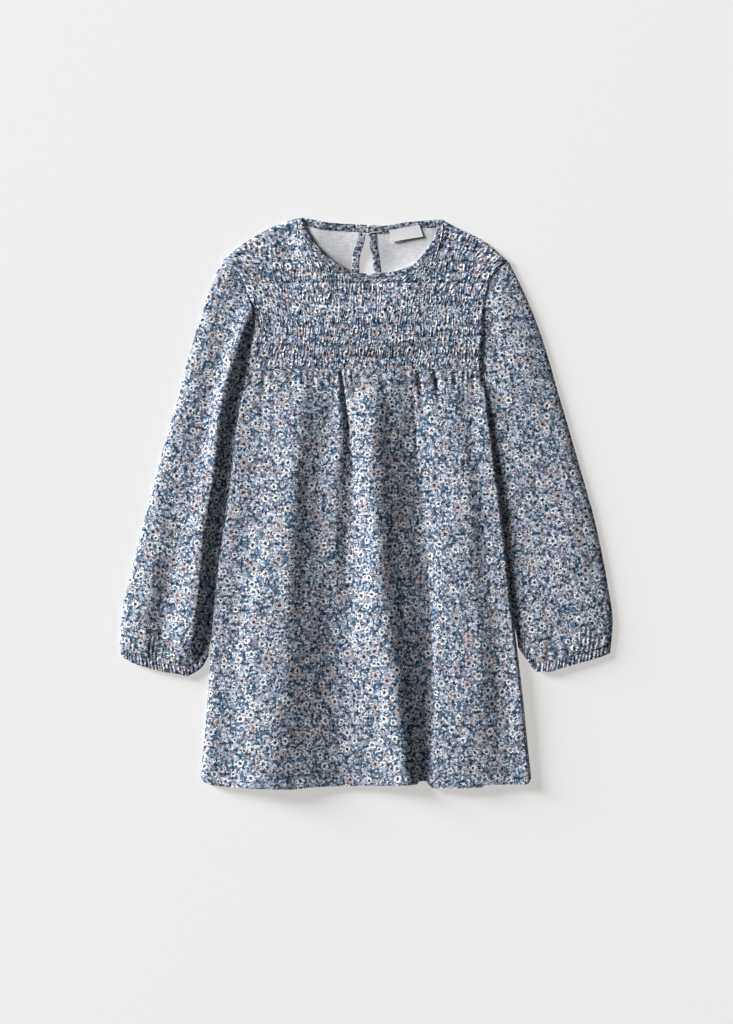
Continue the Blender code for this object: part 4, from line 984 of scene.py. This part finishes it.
def ribbon(name, node, path, width, base, thick, seed, height=back_height):
    """Rounded ribbon to the right of a path: a superellipse section with an uneven surface."""
    angle = np.linspace(0, 2 * np.pi, 24, endpoint=False)
    power = 0.45
    run = run_along(path)
    rings = []
    for c, s in zip(np.cos(angle), np.sin(angle)):
        reach = width / 2 * (1 + np.sign(c) * abs(c) ** power)
        up = thick / 2 * (1 + np.sign(s) * abs(s) ** power)
        plan = offset(path, reach + 0.12 * uneven(run / 5, 0 * run + c, seed))
        z = base + up + (0.22 * uneven(run / 4, 0 * run + reach / 3, seed + 1) if s > 0 else 0.0)
        rings.append(np.column_stack([plan, z + height(plan)]))
    rings = np.stack(rings, axis=1)
    rows, columns = rings.shape[:2]
    faces = grid_faces(rows, columns, close=True).tolist()
    faces += [list(range(columns)), list(range((rows - 1) * columns, rows * columns))]
    place = np.dstack([np.broadcast_to(lengths(rings, 0)[:, :1], (rows, columns)),
                       np.broadcast_to(lengths(rings, 1)[:1], (rows, columns))]) + 40 * seed
    # The binding's print is the darker copy, a painted shade.
    item = make(name, rings.reshape(-1, 3), faces, place.reshape(-1, 2), [TRIM_PAINTED_SHADE])
    face_outward(item)
    around = 2 * (width + thick)
    seat(item, node, flat=(around * MM, float(run[-1]) * 1.05 * MM))


ribbon("binding_front_neck", "neck_binding_front", evenly(NECK_FRONT, 261, 0.5), FRONT_BINDING,
       2.6, 3.4, 61, front_height)
ribbon("binding_back_neck_left", "neck_binding_back_left", evenly(NECK_BACK_L, 81), BACK_BINDING,
       0.2, 2.2, 62)
ribbon("binding_back_neck_right", "neck_binding_back_right", evenly(NECK_BACK_R, 81), BACK_BINDING,
       0.2, 2.2, 63)
ribbon("binding_keyhole", "keyhole_binding", evenly(KEYHOLE, 161), KEYHOLE_BINDING, 0.2, 2.2, 64)

# %% [markdown]
# The label is a short length of plain woven tape, sewn on the right back neck by its upper edge. It
# is left bare. Its lower edge stands a little off the cloth, so it throws a fine shadow line.

# %% Label
a, b, c, d = (np.array(p) for p in LABEL_CORNERS)
u, v = np.linspace(0, 1, 40)[None, :, None], np.linspace(0, 1, 16)[:, None, None]
plan = (1 - v) * ((1 - u) * a + u * b) + v * ((1 - u) * d + u * c)
rise = 7.4 - 1.2 * u[..., 0] + 0.5 * v[..., 0] ** 2 + 0.2 * np.sin(np.pi * u[..., 0]) * v[..., 0]
tape = np.dstack([plan, rise])[::-1]
label = make("label_tape", tape.reshape(-1, 3), grid_faces(16, 40), tape[..., :2].reshape(-1, 2),
             [SATIN], thick=0.6, rim=0)
seat(label, "label", flat=(0.034, 0.0145))

# %% [markdown]
# The closure lies under the right back neck: a small moulded button on a shank, held by a loop of
# elastic cord from the left end of the binding. A short stretch of the cord shows above the slit.

# %% Button and loop
def lathe(name, profile, sides=64):
    """Turned solid about the button's axis: each profile row is a radius and a height."""
    turn = np.linspace(0, 2 * np.pi, sides, endpoint=False)
    r, z = np.array(profile).T
    ring = np.stack([np.outer(r, np.cos(turn)) + BUTTON[0], np.outer(r, np.sin(turn)) + BUTTON[1],
                     np.repeat(z[:, None], sides, axis=1)], axis=-1)
    faces = grid_faces(len(r), sides, close=True).tolist()
    faces += [list(range(sides))[::-1], list(range((len(r) - 1) * sides, len(r) * sides))]
    return make(name, ring.reshape(-1, 3), faces, ring[..., :2].reshape(-1, 2), [HORN])


button = lathe("button_disc", ((3.4, 0.5), (3.7, 0.45), (4.2, 0.05), (4.8, 0.0), (5.15, 0.35), (5.2, 1.0),
                               (5.05, 1.8), (4.4, 2.3), (1.5, 2.4), (1.4, 2.6), (1.4, 4.1)))
seat(button, "button")


def cord(name, path, radius, sides=10):
    """Round elastic cord of the button loop, along 3-D points."""
    side, up = sides_of(np.gradient(path, axis=0))
    turn = np.linspace(0, 2 * np.pi, sides, endpoint=False)
    round_it = np.cos(turn)[:, None] * side[:, None] + np.sin(turn)[:, None] * up[:, None]
    rings = path[:, None] + radius * round_it
    faces = grid_faces(len(path), sides, close=True).tolist()
    faces += [list(range(sides))[::-1], list(range((len(path) - 1) * sides, len(path) * sides))]
    item = make(name, rings.reshape(-1, 3), faces, rings[..., :2].reshape(-1, 2), [PALE_CORD])
    face_outward(item)
    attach(item, "root")
    return item


turn = np.radians(np.linspace(-90, 90, 25))
bow = BUTTON + 2.6 * np.column_stack([np.cos(turn), np.sin(turn)])
leg = np.linspace(-11.0, BUTTON[0] - 0.5, 14)
flat_path = np.concatenate([np.column_stack([leg, np.full(14, BUTTON[1] - 2.6)]), bow,
                            np.column_stack([leg[::-1], np.full(14, BUTTON[1] + 2.6)])])
height = np.minimum(3.45, neck_lift(flat_path) - 0.9)
loop = cord("loop_cord", np.column_stack([flat_path, height]), 0.6)
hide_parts("button_loop")

t = np.linspace(0, 1, 30)
seen = np.column_stack([-3.2 + 12.5 * t, 284.2 + 3.0 * t + 1.3 * np.sin(np.pi * t)])
seen_height = neck_lift(seen) + 2.5 + 0.2 * np.sin(np.pi * t)
cord("loop_stretch_seen", np.column_stack([seen, seen_height]), 0.45)

# %% [markdown]
# Sewing thread last. Two rows of twin-needle stitches hold the turned hem. They are real grains of
# thread, because light catches each one.

# %% Stitches
def on_skirt(up):
    """Path across the skirt at a height above the hem, read off the skirt's own points."""
    hem = evenly(HEM, 500)
    rise = skirt[..., 1] - np.interp(skirt[..., 0], hem[:, 0], hem[:, 1])
    k = np.argmax(rise >= up, axis=0)
    return skirt[k, np.arange(skirt.shape[1])]


for name, up in (("hem_stitch_lower", 10.0), ("hem_stitch_upper", 12.0)):
    stitches(name, on_skirt(up)[3:-3])
